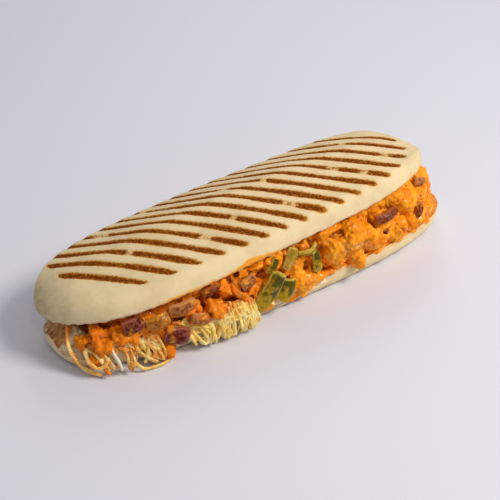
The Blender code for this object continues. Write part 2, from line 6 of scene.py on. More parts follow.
import bmesh
import bpy
import numpy as np
from bpy.props import FloatProperty, FloatVectorProperty, PointerProperty
from mathutils import Matrix, Vector, noise
from mathutils.bvhtree import BVHTree


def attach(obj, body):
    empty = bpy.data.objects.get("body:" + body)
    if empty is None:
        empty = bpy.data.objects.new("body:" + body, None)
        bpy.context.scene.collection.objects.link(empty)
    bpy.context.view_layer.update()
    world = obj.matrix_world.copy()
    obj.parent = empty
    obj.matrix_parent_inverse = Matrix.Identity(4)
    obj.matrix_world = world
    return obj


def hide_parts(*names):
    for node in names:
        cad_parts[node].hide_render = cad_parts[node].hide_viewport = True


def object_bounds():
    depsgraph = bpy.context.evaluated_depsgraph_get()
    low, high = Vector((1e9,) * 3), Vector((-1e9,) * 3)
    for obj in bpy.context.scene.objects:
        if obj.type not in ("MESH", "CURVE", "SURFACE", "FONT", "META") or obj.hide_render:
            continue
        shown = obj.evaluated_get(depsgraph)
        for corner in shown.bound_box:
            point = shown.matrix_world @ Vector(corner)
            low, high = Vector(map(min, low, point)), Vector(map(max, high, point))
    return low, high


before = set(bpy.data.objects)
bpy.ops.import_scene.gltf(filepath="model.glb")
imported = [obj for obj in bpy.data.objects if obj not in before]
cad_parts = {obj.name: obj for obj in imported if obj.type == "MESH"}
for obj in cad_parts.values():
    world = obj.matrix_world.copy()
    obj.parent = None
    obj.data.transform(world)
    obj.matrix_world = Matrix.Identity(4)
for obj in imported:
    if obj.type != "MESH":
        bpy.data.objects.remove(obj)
CAD_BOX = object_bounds()

bl_info = {
    "name": "Panini",
    "version": (1, 0, 0),
    "blender": (4, 5, 0),
    "location": "View3D > Sidebar > Panini",
    "description": "A grilled roll filled with sauced chicken, grated cheese, green pepper and red onion",
    "category": "Add Mesh",
}

MM = 0.001
FAR = 99.0                           # mm, for a point that is away from every grill mark

# The bottom half of the roll
BASE_LENGTH = 253.8 * MM
BASE_WIDTH = 76.4 * MM
BASE_SQUARENESS = 2.9                # power of the plan's superellipse
BASE_RIM = 12.0 * MM                 # height of the cut edge
MOUND_TOP = 20.6 * MM                # crumb left standing at the left end, under the lid
MOUND_SLOPE = 9.0 * MM
MOUND_FROM, MOUND_FULL = -105.0 * MM, -116.0 * MM
MOUND_FRONT, MOUND_BACK = -19.0 * MM, -8.0 * MM
LOW_RIM = 7.5 * MM                   # cut edge at the left end's corners
LOW_FROM, LOW_FULL = -100.0 * MM, -113.0 * MM

BASE_FOOT = (                        # rounded foot of the crust: inset and height in mm
    (5.5, 0), (4.2, 0.25), (3.0, 0.95), (2.0, 1.9), (1.1, 3.2), (0.5, 4.6), (0.15, 5.8), (0, 7.0),
)
FOOT_TOP = 7.0 * MM
BASE_AROUND = 600.0 * MM             # length of its outline, roughly

# The top half of the roll, in its own frame: its cut face is tilted on the filling
LID_HALF_LENGTH = 122.0 * MM
LID_HALF_WIDTH = 40.4 * MM
LID_END_POWER, LID_SIDE_POWER = 4.16, 1.92
LID_TAPER = -0.06                    # narrower towards the right end
LID_WALL = 9.5 * MM                  # height of the rounded side
LID_WALL_RUN, LID_END_RUN = 6.0 * MM, 24.2 * MM
LID_END_FALL = 1.51
LID_CROWN = 8.9 * MM                 # rise of the soft roof above the side
LID_CROWN_POWER, LID_CROWN_END_POWER = 1.3, 2.1
LID_RIDGE = 0.08                     # the roof's ridge, as a share of the half width towards the back
LID_LIP, LID_LIP_DEPTH = 1.0 * MM, 1.5 * MM
LID_CENTRE = Vector((-6.9, 4.1, 34.4)) * MM
LID_YAW, LID_PITCH, LID_ROLL = math.radians(-1.74), math.radians(-5.06), math.radians(-5.89)

# Grill marks, in the lid's frame and in mm
MARK_COUNT = 17
MARK_PITCH = 8.79
MARK_FIRST = -72.04                  # distance of the first mark's line from the lid's centre
MARK_ANGLE, MARK_FAN = -47.68, 2.74  # degrees
MARK_DRIFT, MARK_SPREAD = -0.17, 5.14
MARK_BOW, MARK_TWIST = 0.22, 0.06
MARK_BOW_REACH = 40.0                # from the middle of a mark to where its bow is measured
MARK_LEFT_END = -103.5
MARK_BACK_END = 4.0                  # from the back edge to the marks
MARK_END = 4.0                       # from the front edge to the nearest marks
MARK_GAPS = (                        # mark number, where along it, half length of the golden stretch
    (4, -66.0, 5.0), (4, -5.0, 4.0), (8, 30.0, 4.5), (12, 47.5, 4.0), (12, 64.5, 3.0), (14, 74.0, 4.0),
    (9, -9.0, 3.5), (7, -52.0, 3.0), (10, 12.0, 2.5), (2, -40.0, 2.5), (15, 48.0, 3.0), (6, 4.0, 2.0),
)


def linear(code):
    """Linear colour of an sRGB hex code."""
    parts = [int(code[i:i + 2], 16) / 255 for i in (1, 3, 5)]
    return [p / 12.92 if p <= 0.04045 else ((p + 0.055) / 1.055) ** 2.4 for p in parts]


def tint(code):
    return (*linear(code), 1.0)


def smooth_step(low, high, value):
    share = np.clip((value - low) / (high - low), 0.0, 1.0)
    return share * share * (3 - 2 * share)


def blend(first, second, share):
    return first + (second - first) * share


# Settings

def colour_setting(name, code, description):
    return FloatVectorProperty(name=name, description=description, subtype="COLOR", size=3, min=0, max=1,
                               default=linear(code))


def length_setting(name, size, least, most, description):
    """A setting in mm."""
    return FloatProperty(name=name, description=description, unit="LENGTH", default=size * MM,
                         min=least * MM, max=most * MM)


class PaniniBread(bpy.types.PropertyGroup):
    crust: colour_setting("Crust", "#E8D3A5", "Pale floury crust")
    shade: colour_setting("Crust shade", "#DDC698", "Blotches of the crust")
    mark: colour_setting("Grill mark", "#6E3008", "Burnt bottom of a grill mark")
    ember: colour_setting("Mark, lighter", "#B4701E", "Lighter grain inside a grill mark")
    golden: colour_setting("Mark edge", "#DCA856", "Golden rim of a grill mark and where it is broken")
    crumb: colour_setting("Crumb", "#F0E2BE", "Cut face of the bread")
    mark_width: length_setting("Mark width", 4.0, 1, 6, "Width of a grill mark")
    mark_depth: length_setting("Mark depth", 0.42, 0, 2, "Depth of a grill mark's groove")
    grain: length_setting("Grain", 0.85, 0.4, 5, "Distance between points of the crust's mesh")


class PaniniFilling(bpy.types.PropertyGroup):
    sauce: colour_setting("Sauce", "#EC860A", "Creamy orange sauce")
    # The deep colour is painted shade, laid in the chicken's crevices
    deep: colour_setting("Deep sauce", "#A4500A", "Sauce in the crevices")
    cream: colour_setting("Creamy sauce", "#FFAC22", "Lighter, creamier sauce")
    meat: colour_setting("Chicken", "#DCA65A", "Chicken where the sauce is thin")
    # Painted shade in part: the redder, darker sauce laid towards the left end
    redder_and_shaded: colour_setting("Rich sauce", "#EA780A", "Redder, glossier sauce at the left end")
    voxel: length_setting("Voxel", 0.8, 0.5, 4, "Cell of the mesh that the chunks are cut from")


class PaniniCheese(bpy.types.PropertyGroup):
    cheese: colour_setting("Cheese", "#FBCC5C", "Grated cheese")
    pale: colour_setting("Pale cheese", "#FDE296", "Drier, paler strips")
    oiled: colour_setting("Oiled cheese", "#E4902A", "Cheese that has taken up sauce")
    strip_width: length_setting("Strip width", 2.2, 0.5, 6, "Width of a grated strip")


class PaniniGreens(bpy.types.PropertyGroup):
    skin: colour_setting("Pepper skin", "#4C4604", "Skin of a green pepper")
    flesh: colour_setting("Pepper flesh", "#B4920E", "Flesh of a green pepper")
    onion: colour_setting("Red onion", "#6A2010", "Skin side of a red onion")
    cooked: colour_setting("Cooked onion", "#B0602A", "Onion that has taken up sauce")
    browned: colour_setting("Browned onion", "#7C3010", "Onion seared brown")


class PaniniStage(bpy.types.PropertyGroup):
    azimuth: FloatProperty(name="Azimuth", description="Camera's turn round the panini", subtype="ANGLE",
                           default=math.radians(-34.26))
    elevation: FloatProperty(name="Elevation", description="Camera's height angle", subtype="ANGLE",
                             default=math.radians(34.2))
    distance: FloatProperty(name="Distance", description="Camera to the panini", unit="LENGTH", default=0.6)
    lens: FloatProperty(name="Lens", description="Focal length", unit="CAMERA", default=79.28)


# Meshes

def placed(name, data):
    """A new object in the scene."""
    thing = bpy.data.objects.new(name, data)
    bpy.context.scene.collection.objects.link(thing)
    return thing


def new_piece(name, points, faces, *materials):
    """An object at the origin from points and faces."""
    mesh = bpy.data.meshes.new(name)
    mesh.from_pydata([tuple(p) for p in points], [], [tuple(f) for f in faces])
    for material in materials:
        mesh.materials.append(material)
    mesh.shade_smooth()
    return placed(name, mesh)


def points_of(mesh):
    flat = np.empty(len(mesh.vertices) * 3, np.float32)
    mesh.vertices.foreach_get("co", flat)
    return flat.reshape(-1, 3).astype(float)


def normals_of(mesh):
    flat = np.empty(len(mesh.vertices) * 3, np.float32)
    mesh.vertex_normals.foreach_get("vector", flat)
    return flat.reshape(-1, 3).astype(float)


def set_points(mesh, points):
    mesh.vertices.foreach_set("co", np.ascontiguousarray(points, np.float32).ravel())
    mesh.update()


def set_attribute(mesh, name, values):
    layer = mesh.attributes.get(name) or mesh.attributes.new(name, "FLOAT", "POINT")
    layer.data.foreach_set("value", np.ascontiguousarray(values, np.float32))


def noise_at(points, size, seed=0.0):
    """Soft noise from -1 to 1 at each point, with features of this size in metres."""
    scaled = points / size + seed
    return np.array([noise.noise(Vector(p)) for p in scaled])


def ring_faces(rings, count, turned=False):
    """Quads between rings of points, each with this count."""
    faces = []
    for i in range(rings - 1):
        for j in range(count):
            a, b = i * count + j, i * count + (j + 1) % count
            faces.append((a, a + count, b + count, b) if turned else (a, b, b + count, a + count))
    return faces


def face_outwards(piece):
    bm = bmesh.new()
    bm.from_mesh(piece.data)
    bmesh.ops.recalc_face_normals(bm, faces=bm.faces)
    if bm.calc_volume(signed=True) < 0:
        bmesh.ops.reverse_faces(bm, faces=bm.faces)
    bm.to_mesh(piece.data)
    bm.free()


def apply_modifiers(piece):
    """Turns a piece with its modifiers into a plain mesh."""
    mesh = bpy.data.meshes.new_from_object(piece.evaluated_get(bpy.context.evaluated_depsgraph_get()))
    piece.modifiers.clear()
    old = piece.data
    piece.data = mesh
    mesh.name = piece.name
    bpy.data.meshes.remove(old)


def remeshed(piece, cell, rounds):
    """Gives a piece an even mesh with cells of this size, softened this many times."""
    remesh = piece.modifiers.new("voxels", "REMESH")
    remesh.mode = "VOXEL"
    remesh.voxel_size = cell
    soften = piece.modifiers.new("soften", "SMOOTH")
    soften.factor = 0.5
    soften.iterations = rounds
    apply_modifiers(piece)
    piece.data.shade_smooth()


def settle(piece, slot, *nodes):
    """Hands a finished piece to the frame, none of it outside the solids' box."""
    set_points(piece.data, np.clip(points_of(piece.data), CAD_BOX[0], CAD_BOX[1]))
    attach(piece, "root")
    if nodes:
        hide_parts(*nodes)
    return piece


# Materials

NOISE, RANGE, MIX = "ShaderNodeTexNoise", "ShaderNodeMapRange", "ShaderNodeMix"
MATH, ATTRIBUTE, BUMP = "ShaderNodeMath", "ShaderNodeAttribute", "ShaderNodeBump"
SMOOTH = {"interpolation_type": "SMOOTHSTEP"}


def add(tree, kind, inputs=(), out=0, **settings):
    """Adds a node with its settings and its inputs' values or links, and gives one of its outputs."""
    node = tree.nodes.new(kind)
    for name, value in settings.items():
        setattr(node, name, value)
    for key, value in inputs.items() if isinstance(inputs, dict) else enumerate(inputs):
        if isinstance(value, bpy.types.NodeSocket):
            tree.links.new(value, node.inputs[key])
        else:
            node.inputs[key].default_value = value
    return node.outputs[out]


def new_material(name, **values):
    """A Principled material with its even values, its tree and its shader."""
    material = bpy.data.materials.new(name)
    material.use_nodes = True
    shader = material.node_tree.nodes["Principled BSDF"]
    for key, value in values.items():
        shader.inputs[key.replace("_", " ")].default_value = value
    return material, material.node_tree, shader


def connect(tree, shader, **sockets):
    for key, socket in sockets.items():
        tree.links.new(socket, shader.inputs[key.replace("_", " ")])


def patches(tree, size, limits=None, to=(0.0, 1.0), detail=3.0, rough=0.55):
    """Patches of this size in mm over the object's own coordinates, soft or cut between two limits."""
    place = add(tree, "ShaderNodeTexCoord", out="Object")
    look = {"Vector": place, "Scale": 1 / (size * MM), "Detail": detail, "Roughness": rough}
    value = add(tree, NOISE, look, "Fac")
    return add(tree, RANGE, (value, *limits, *to), **SMOOTH) if limits else value


def ragged(tree, name, size, low, high, detail=3.0, rough=0.55, margin=0.3):
    """The piece's own attribute with patches of this size in mm added, from low to high."""
    own = add(tree, ATTRIBUTE, out="Fac", attribute_name=name)
    uneven = patches(tree, size, (margin, 1 - margin), (low, high), detail, rough)
    return add(tree, MATH, (own, uneven), operation="ADD")


def painted(tree, colour, *coats):
    """The colour under its coats, each a mask and the colour that it shows."""
    for mask, coat in coats:
        colour = add(tree, MIX, {0: mask, 6: colour, 7: coat}, 2, data_type="RGBA")
    return colour


def rgba(colour):
    return (*colour, 1.0)


def crust_material(bread):
    """Crust of a part-baked white roll, grilled in a ridged press: dry, matt, burnt only in the grooves."""
    material, tree, shader = new_material("roll_crust_grilled", Roughness=0.6, IOR=1.4)
    # Painted shade, darker at the lid's left end and tips and at the base's foot, made uneven
    painted_shade = add(tree, ATTRIBUTE, out="Fac", attribute_name="painted_shade")
    uneven = patches(tree, 9, (0.35, 0.65), (0.55, 1.35), detail=4)
    shaded = add(tree, MATH, (painted_shade, uneven), operation="MULTIPLY")
    # Sauce that has crept up from the cut edge
    soak = add(tree, ATTRIBUTE, out="Fac", attribute_name="oil")
    creep = ragged(tree, "oil", 3.0, -0.34, 0.3, detail=4, rough=0.6)
    creep = add(tree, RANGE, (creep, 0.15, 0.8), **SMOOTH)
    fade = add(tree, RANGE, (soak, 0.0, 0.3, 0.0, 0.95), **SMOOTH)
    oil = add(tree, MATH, (creep, fade), operation="MULTIPLY")
    deep = add(tree, RANGE, (soak, 0.35, 0.95), **SMOOTH)
    soaked = painted(tree, tint("#F4BC54"), (deep, tint("#F09A14")))
    # Grill marks: a ragged edge with a golden rim, a mottled burn, and gold where the burn is broken. The
    # mottling is drawn at 1.3 mm, coarser than charred flour, so that it shows.
    half = bread.mark_width / MM / 2
    burn = add(tree, ATTRIBUTE, out="Fac", attribute_name="mark_burn")
    narrowed = add(tree, RANGE, (burn, 1.0, 0.0, 0.0, 0.6), **SMOOTH)
    edge = ragged(tree, "mark_distance", 1.5, -0.35, 0.35, detail=4, rough=0.7, margin=0.25)
    reach = add(tree, MATH, (edge, narrowed), operation="ADD")
    inside = add(tree, RANGE, (reach, half + 0.3, half - 0.3), **SMOOTH)
    rim = add(tree, RANGE, (reach, half + 1.1, half + 0.1, 0.0, 0.5), **SMOOTH)
    patchy = patches(tree, 2.2, (0.35, 0.6), (0.3, 0.95), detail=4)
    patchy = add(tree, MATH, (inside, patchy), operation="MULTIPLY")
    golden = add(tree, MATH, (rim, patchy), operation="MAXIMUM")
    outer = add(tree, RANGE, (reach, half * 0.3, half + 0.1, -0.05, 0.12), **SMOOTH)
    mottle = add(tree, MATH, (patches(tree, 1.3, detail=5, rough=0.8), outer), operation="ADD")
    mottle = add(tree, RANGE, (mottle, 0.44, 0.6), **SMOOTH)
    scorched = painted(tree, rgba(bread.mark), (mottle, rgba(bread.ember)))
    broken = ragged(tree, "mark_burn", 2.4, 0.35, -0.6, detail=5, rough=0.8, margin=0.32)
    broken = add(tree, RANGE, (broken, 0.1, 0.5), **SMOOTH)
    scorch = add(tree, MATH, (inside, broken), operation="MULTIPLY", use_clamp=True)
    # Crumb that shows where the crust is torn
    torn = ragged(tree, "torn", 2.4, -0.4, 0.4, detail=5, rough=0.7)
    torn = add(tree, RANGE, (torn, 0.35, 0.6), **SMOOTH)
    specks = patches(tree, 1.6, (0.47, 0.58), detail=4, rough=0.7)
    crumb = painted(tree, tint("#F2E6CC"), (specks, tint("#B8742E")))
    # The peeled line's darker colour is painted shade in its groove
    peeled_shade = add(tree, ATTRIBUTE, out="Fac", attribute_name="peeled_shade")
    colour = painted(
        tree, rgba(bread.crust),
        (patches(tree, 18, (0.4, 0.68), detail=4), rgba(bread.shade)),
        (patches(tree, 1.6, (0.64, 0.74), (0.0, 0.45), rough=0.7), tint("#C7AC74")),
        # painted shade
        (shaded, tint("#947F55")),
        (oil, soaked),
        (golden, rgba(bread.golden)),
        (scorch, scorched),
        (torn, crumb),
        (peeled_shade, tint("#8A7452")),
    )
    relief = add(tree, MATH, (patches(tree, 1.1, detail=4, rough=0.6), patches(tree, 5)), operation="ADD")
    connect(tree, shader, Base_Color=colour,
            Specular_IOR_Level=add(tree, RANGE, (scorch, 0.0, 1.0, 0.3, 0.02), **SMOOTH),
            Roughness=add(tree, RANGE, (oil, 0.0, 1.0, 0.6, 0.25), **SMOOTH),
            Normal=add(tree, BUMP, {"Height": relief, "Distance": 0.1 * MM, "Strength": 0.5}))
    return material


def crumb_material(bread):
    """Cut face of white bread: open, matt crumb that drinks the sauce."""
    material, tree, shader = new_material(
        "white_bread_crumb", Roughness=0.85,
        Subsurface_Weight=0.15, Subsurface_Radius=(0.003, 0.002, 0.001), Subsurface_Scale=0.4)
    wet = painted(tree, tint("#E8A23C"), (patches(tree, 2.0, (0.35, 0.65), detail=4), tint("#CF8026")))
    browned = painted(tree, tint("#C48E4C"), (patches(tree, 2.6, (0.35, 0.65), detail=4), tint("#9A5C20")))
    toasted = add(tree, ATTRIBUTE, out="Fac", attribute_name="toasted")
    stained = ragged(tree, "sauce", 4.5, -0.4, 0.4, detail=5, rough=0.6)
    stained = add(tree, RANGE, (stained, 0.15, 0.85), **SMOOTH)
    colour = painted(
        tree, tint("#D9C08C"),
        (patches(tree, 2.4, (0.3, 0.7), detail=4, rough=0.65), rgba(bread.crumb)),
        (stained, painted(tree, wet, (toasted, browned))),
    )
    pores = patches(tree, 1.6, detail=5, rough=0.7)
    connect(tree, shader, Base_Color=colour,
            Normal=add(tree, BUMP, {"Height": pores, "Distance": 0.5 * MM, "Strength": 0.8}))
    return material


def chicken_material(filling):
    """Torn chicken under a creamy spiced sauce: wet, smooth where thick, fibrous where it is thin."""
    material, tree, shader = new_material(
        "sauced_chicken", Roughness=0.42, IOR=1.36, Specular_IOR_Level=0.15,
        Subsurface_Weight=0.1, Subsurface_Radius=(0.002, 0.0012, 0.0003), Subsurface_Scale=0.5,
        Coat_Roughness=0.1, Coat_IOR=1.35)
    # Towards the left end the sauce is redder and darker: partly its own colour, partly painted shade
    own = add(tree, ATTRIBUTE, out="Fac", attribute_name="redder_and_shaded")
    uneven = patches(tree, 5.0, (0.3, 0.7), (1.0, 0.45), detail=4)
    redder_and_shaded = add(tree, MATH, (own, uneven), operation="MULTIPLY")
    bare = ragged(tree, "bare", 3.0, -0.4, 0.4, detail=5, rough=0.6)
    # Painted shade: the sauce is darkened with the deep colour in the recesses, the gaps and between the
    # granules
    crevice_shade = ragged(tree, "crevice_shade", 2.0, -0.2, 0.2, detail=4)
    colour = painted(
        tree, rgba(filling.sauce),
        (patches(tree, 7.0, (0.38, 0.66), detail=5, rough=0.6), rgba(filling.cream)),
        (redder_and_shaded, rgba(filling.redder_and_shaded)),
        (add(tree, RANGE, (bare, 0.4, 0.9, 0.0, 0.85), **SMOOTH), rgba(filling.meat)),
        (add(tree, RANGE, (crevice_shade, 0.25, 1.0), **SMOOTH), rgba(filling.deep)),
        (patches(tree, 1.6, (0.66, 0.72), (0.0, 0.55), rough=0.5), tint("#9A3A0A")),
    )
    lumps = patches(tree, 1.6, detail=4, rough=0.6)
    connect(tree, shader, Base_Color=colour,
            Coat_Weight=patches(tree, 3.0, (0.48, 0.6), detail=4, rough=0.6),
            Normal=add(tree, BUMP, {"Height": lumps, "Distance": 0.45 * MM, "Strength": 0.7}))
    return material


def cheese_material(cheese):
    """Grated mild cheese: waxy, slightly see-through, orange where it lies in the sauce."""
    material, tree, shader = new_material(
        "grated_cheese", Roughness=0.42, IOR=1.45,
        Subsurface_Weight=0.35, Subsurface_Radius=(0.004, 0.003, 0.001), Subsurface_Scale=0.5)
    oiled = ragged(tree, "sauce", 5.0, -0.25, 0.25)
    colour = painted(
        tree, rgba(cheese.cheese),
        (patches(tree, 7.0, (0.35, 0.65), detail=2), rgba(cheese.pale)),
        (add(tree, RANGE, (oiled, 0.3, 0.8), **SMOOTH), rgba(cheese.oiled)),
        (add(tree, ATTRIBUTE, out="Fac", attribute_name="white"), tint("#F3EBD6")),
    )
    connect(tree, shader, Base_Color=colour,
            Normal=add(tree, BUMP, {"Height": patches(tree, 1.0), "Distance": 0.12 * MM, "Strength": 0.5}))
    return material


def wet_material(name, dullness):
    """Softened vegetable under oil: smooth, see-through at its edges, with sharp small highlights."""
    material, tree, shader = new_material(
        name, Roughness=0.35, IOR=1.36, Specular_IOR_Level=0.1,
        Subsurface_Weight=0.15, Subsurface_Radius=(0.002, 0.0015, 0.0005), Subsurface_Scale=0.5,
        Coat_Roughness=dullness, Coat_IOR=1.4)
    connect(tree, shader, Coat_Weight=patches(tree, 2.6, (0.45, 0.62), (0.05, 0.75), detail=4, rough=0.6))
    return material, tree, shader


def glaze(tree, shader, colour, filling):
    """Sauce that lies over a vegetable in films."""
    film = add(tree, ATTRIBUTE, out="Fac", attribute_name="film")
    thick = add(tree, MATH, (film, 0.8), operation="MULTIPLY")
    sauce = painted(tree, rgba(filling.sauce), (patches(tree, 2.5, (0.35, 0.65)), rgba(filling.cream)))
    lumps = patches(tree, 1.6, detail=4, rough=0.65)
    connect(tree, shader, Base_Color=painted(tree, colour, (thick, sauce)),
            Normal=add(tree, BUMP, {"Height": lumps, "Distance": 0.5 * MM, "Strength": 0.7}))


def pepper_material(name, skin, flesh, filling):
    """Cooked green pepper: waxed skin on one side, watery ribbed flesh on the other, wet with oil."""
    material, tree, shader = wet_material(name, 0.08)
    dark_end = add(tree, RANGE, (ragged(tree, "tone", 4.0, -0.5, 0.5, detail=4), 0.5, -0.7), **SMOOTH)
    waxed = painted(tree, rgba(skin), (dark_end, rgba(flesh)))
    watery = painted(tree, rgba(flesh), (patches(tree, 2.0, (0.35, 0.65)), tint("#CDB65A")))
    outside = add(tree, ATTRIBUTE, out="Fac", attribute_name="skin")
    glaze(tree, shader, painted(tree, watery, (outside, waxed)), filling)
    return material


def onion_material(name, skin, flesh, filling, dullness=0.12):
    """Softened onion: see-through layers with a darker skin side, glazed with sauce."""
    material, tree, shader = wet_material(name, dullness)
    layers = painted(
        tree, rgba(skin),
        (patches(tree, 3.5, (0.35, 0.65)), rgba([c * 0.45 for c in skin])),
        (patches(tree, 1.8, (0.46, 0.6), (0.0, 0.5), detail=2), rgba(flesh)),
    )
    outside = add(tree, ATTRIBUTE, out="Fac", attribute_name="skin")
    glaze(tree, shader, painted(tree, rgba(flesh), (outside, layers)), filling)
    return material


# Bread

def lid_half_width(x):
    share = np.minimum(np.abs(x) / LID_HALF_LENGTH, 1.0)
    plan = (1 - share ** LID_END_POWER) ** (1 / LID_SIDE_POWER)
    return LID_HALF_WIDTH * plan * (1 + LID_TAPER * x / LID_HALF_LENGTH)


def lid_top(x, across):
    """Height of the crust above the cut face, at a share across the half width."""
    end = np.clip((np.abs(x) - (LID_HALF_LENGTH - LID_END_RUN)) / LID_END_RUN, 0.0, 1.0)
    start = 1 - LID_WALL_RUN / LID_HALF_WIDTH
    side = np.clip((np.abs(across) - start) / (1 - start), 0.0, 1.0)
    wall = LID_WALL * np.sqrt(1 - end * end) ** LID_END_FALL * np.sqrt(1 - side * side)
    limit = np.where(across > LID_RIDGE, 1 - LID_RIDGE, 1 + LID_RIDGE)
    roof = 1 - np.minimum(np.abs(across - LID_RIDGE) / limit, 1.0) ** LID_CROWN_POWER
    length = 1 - np.minimum(np.abs(x) / LID_HALF_LENGTH, 1.0) ** LID_CROWN_END_POWER
    return wall + LID_CROWN * roof * length


def lid_place():
    tilt = Matrix.Rotation(LID_PITCH, 4, "Y") @ Matrix.Rotation(LID_ROLL, 4, "X")
    return Matrix.Translation(LID_CENTRE) @ Matrix.Rotation(LID_YAW, 4, "Z") @ tilt


LID_PLACE = lid_place()


def lid_under(x, y):
    """Height of the lid's cut face over a point of the floor."""
    point = LID_PLACE @ Vector((0, 0, -LID_LIP_DEPTH))
    normal = LID_PLACE.to_3x3() @ Vector((0, 0, 1))
    return point.z - (normal.x * (x - point.x) + normal.y * (y - point.y)) / normal.z


def evenly(points, count):
    """Points at even distances along a polyline, its ends included."""
    lengths = np.concatenate([[0], np.cumsum(np.linalg.norm(np.diff(points, axis=0), axis=1))])
    wanted = np.linspace(0, lengths[-1], count)
    return np.stack([np.interp(wanted, lengths, points[:, i]) for i in range(points.shape[1])], axis=1)


def grill_marks(x, y):
    """Distance from the nearest grill mark in mm and how burnt it is there, for points of the lid in mm."""
    distance = np.full(x.shape, FAR)
    burn = np.ones(x.shape)
    for k in range(MARK_COUNT):
        q = (k - MARK_COUNT // 2) / (MARK_COUNT // 2)
        angle = math.radians(MARK_ANGLE + MARK_FAN * q)
        along = math.cos(angle) * x + math.sin(angle) * y
        share = along / MARK_BOW_REACH
        bow = MARK_BOW * share ** 2 + MARK_TWIST * share ** 3
        line = MARK_FIRST + k * MARK_PITCH + MARK_DRIFT * q * q + MARK_SPREAD * q ** 3 + bow
        off = -math.sin(angle) * x + math.cos(angle) * y - line
        # The marks start farther from the front edge towards either end
        front = MARK_END + (5.0 * q * q if q < 0 else 18.0 * q ** 6)
        half = lid_half_width(x * MM) / MM
        left = np.minimum(half + y - front, x - MARK_LEFT_END)
        room = np.minimum(left, half - y - MARK_BACK_END)
        # Narrow at the tip, widest a little way in, uneven along its length
        taper = 0.4 * smooth_step(4.0, 0.0, left)
        swell = 0.3 * smooth_step(32.0, 6.0, left) - 0.35 * smooth_step(26.0, 60.0, left)
        swell = swell + 0.35 * np.sin(along / 6.5 + k * 2.1) * np.sin(along / 15 + k)
        here = np.hypot(np.maximum(np.abs(off) + taper - swell, 0.0), np.maximum(-room, 0.0) * 1.2)
        strength = np.ones(x.shape)
        for number, place, reach in MARK_GAPS:
            if number == k:
                away = np.abs(along - place) / reach
                strength = np.minimum(strength, 0.22 + 0.78 * smooth_step(0.2, 1.5, away))
        nearer = here < distance
        distance = np.where(nearer, here, distance)
        burn = np.where(nearer, strength, burn)
    return distance, burn


